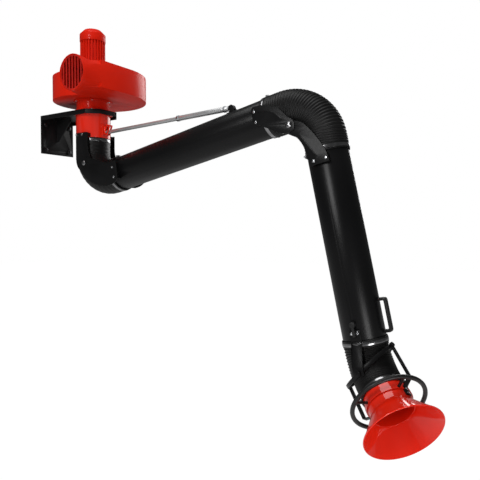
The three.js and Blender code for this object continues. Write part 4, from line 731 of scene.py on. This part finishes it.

# Cowl guard: three wire rings on two crossed wires, welded under the cowl's round vent
# and sprayed with the motor, in the motor's red drawn darker as painted shade under the cowl.
wire_radius = 0.0009
bpy.ops.object.select_all(action="DESELECT")
guard_parts = []
for ring in (0.0075, 0.0150, 0.0225):
    bpy.ops.mesh.primitive_torus_add(major_radius=ring, minor_radius=wire_radius, major_segments=48,
                                     minor_segments=10, location=(axis_x, 0.0, 0.5092))
    guard_parts.append(bpy.context.object)
for turn in (0.0, 90.0):
    bpy.ops.mesh.primitive_cylinder_add(vertices=12, radius=wire_radius, depth=0.0530,
                                        location=(axis_x, 0.0, 0.5076),
                                        rotation=(math.radians(90.0), 0.0, math.radians(turn)))
    guard_parts.append(bpy.context.object)
for wire in guard_parts:
    wire.select_set(True)
bpy.ops.object.join()
cowl_guard = bpy.context.object
cowl_guard.name = "cowl_guard"
bpy.ops.object.transform_apply(location=True, rotation=True, scale=True)
bpy.ops.object.shade_smooth_by_angle(angle=math.radians(50.0))
cowl_guard.data.materials.append(shaded_guard_red)
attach(cowl_guard, "base")

# Worm screws: a zinc plated screw with a hexagon head, lying across the housing
# of each band clamp. One is made and copied to each place.
bpy.ops.object.select_all(action="DESELECT")
bpy.ops.mesh.primitive_cylinder_add(vertices=24, radius=0.0032, depth=0.026, location=(0.0, 0.0, 0.0))
worm_master = bpy.context.object
bpy.ops.mesh.primitive_cylinder_add(vertices=6, radius=0.0046, depth=0.0050, location=(0.0, 0.0, 0.0145))
worm_master.select_set(True)
bpy.context.view_layer.objects.active = worm_master
bpy.ops.object.join()
worm_master.name = "worm_screw_master"
bpy.ops.object.transform_apply(location=True, rotation=True, scale=True)
bpy.ops.object.shade_smooth_by_angle(angle=math.radians(30.0))
worm_master.data.materials.append(zinc_plate)
housing_radius = 0.0902
worm_places = (
    ("shoulder_top", "collar", Vector((axis_x, 0.0, -0.0475)), -upright, across, 180.0),
    ("shoulder_low", "upper_arm", upper_start + 0.2005 * upper_dir, upper_dir, across, 0.0),
    ("elbow_upper", "upper_arm", upper_start + 1.0735 * upper_dir, upper_dir, across, 0.0),
    ("elbow_lower", "lower_arm", corner + 0.1995 * lower_dir, lower_dir, across, 180.0),
    ("hood_upper", "lower_arm", corner + 0.9265 * lower_dir, lower_dir, across, -54.0),
    ("hood_lower", "hood_group", gimbal + 0.1255 * hood_dir, hood_dir, hood_side, 135.0),
)
for place_name, body, middle, way, sideways, turn in worm_places:
    worm = worm_master.copy()
    worm.data = worm_master.data.copy()
    worm.name = f"worm_screw_{place_name}"
    scene.collection.objects.link(worm)
    about = Matrix.Rotation(math.radians(turn), 3, way)
    tangent = about @ sideways
    radial = about @ way.cross(sideways)
    stand = Matrix((tangent.cross(radial), radial, tangent)).transposed().to_4x4()
    worm.data.transform(Matrix.Translation(middle + housing_radius * radial) @ stand)
    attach(worm, body)
bpy.data.objects.remove(worm_master)
bpy.data.objects.remove(screw_master)

bpy.context.view_layer.update()
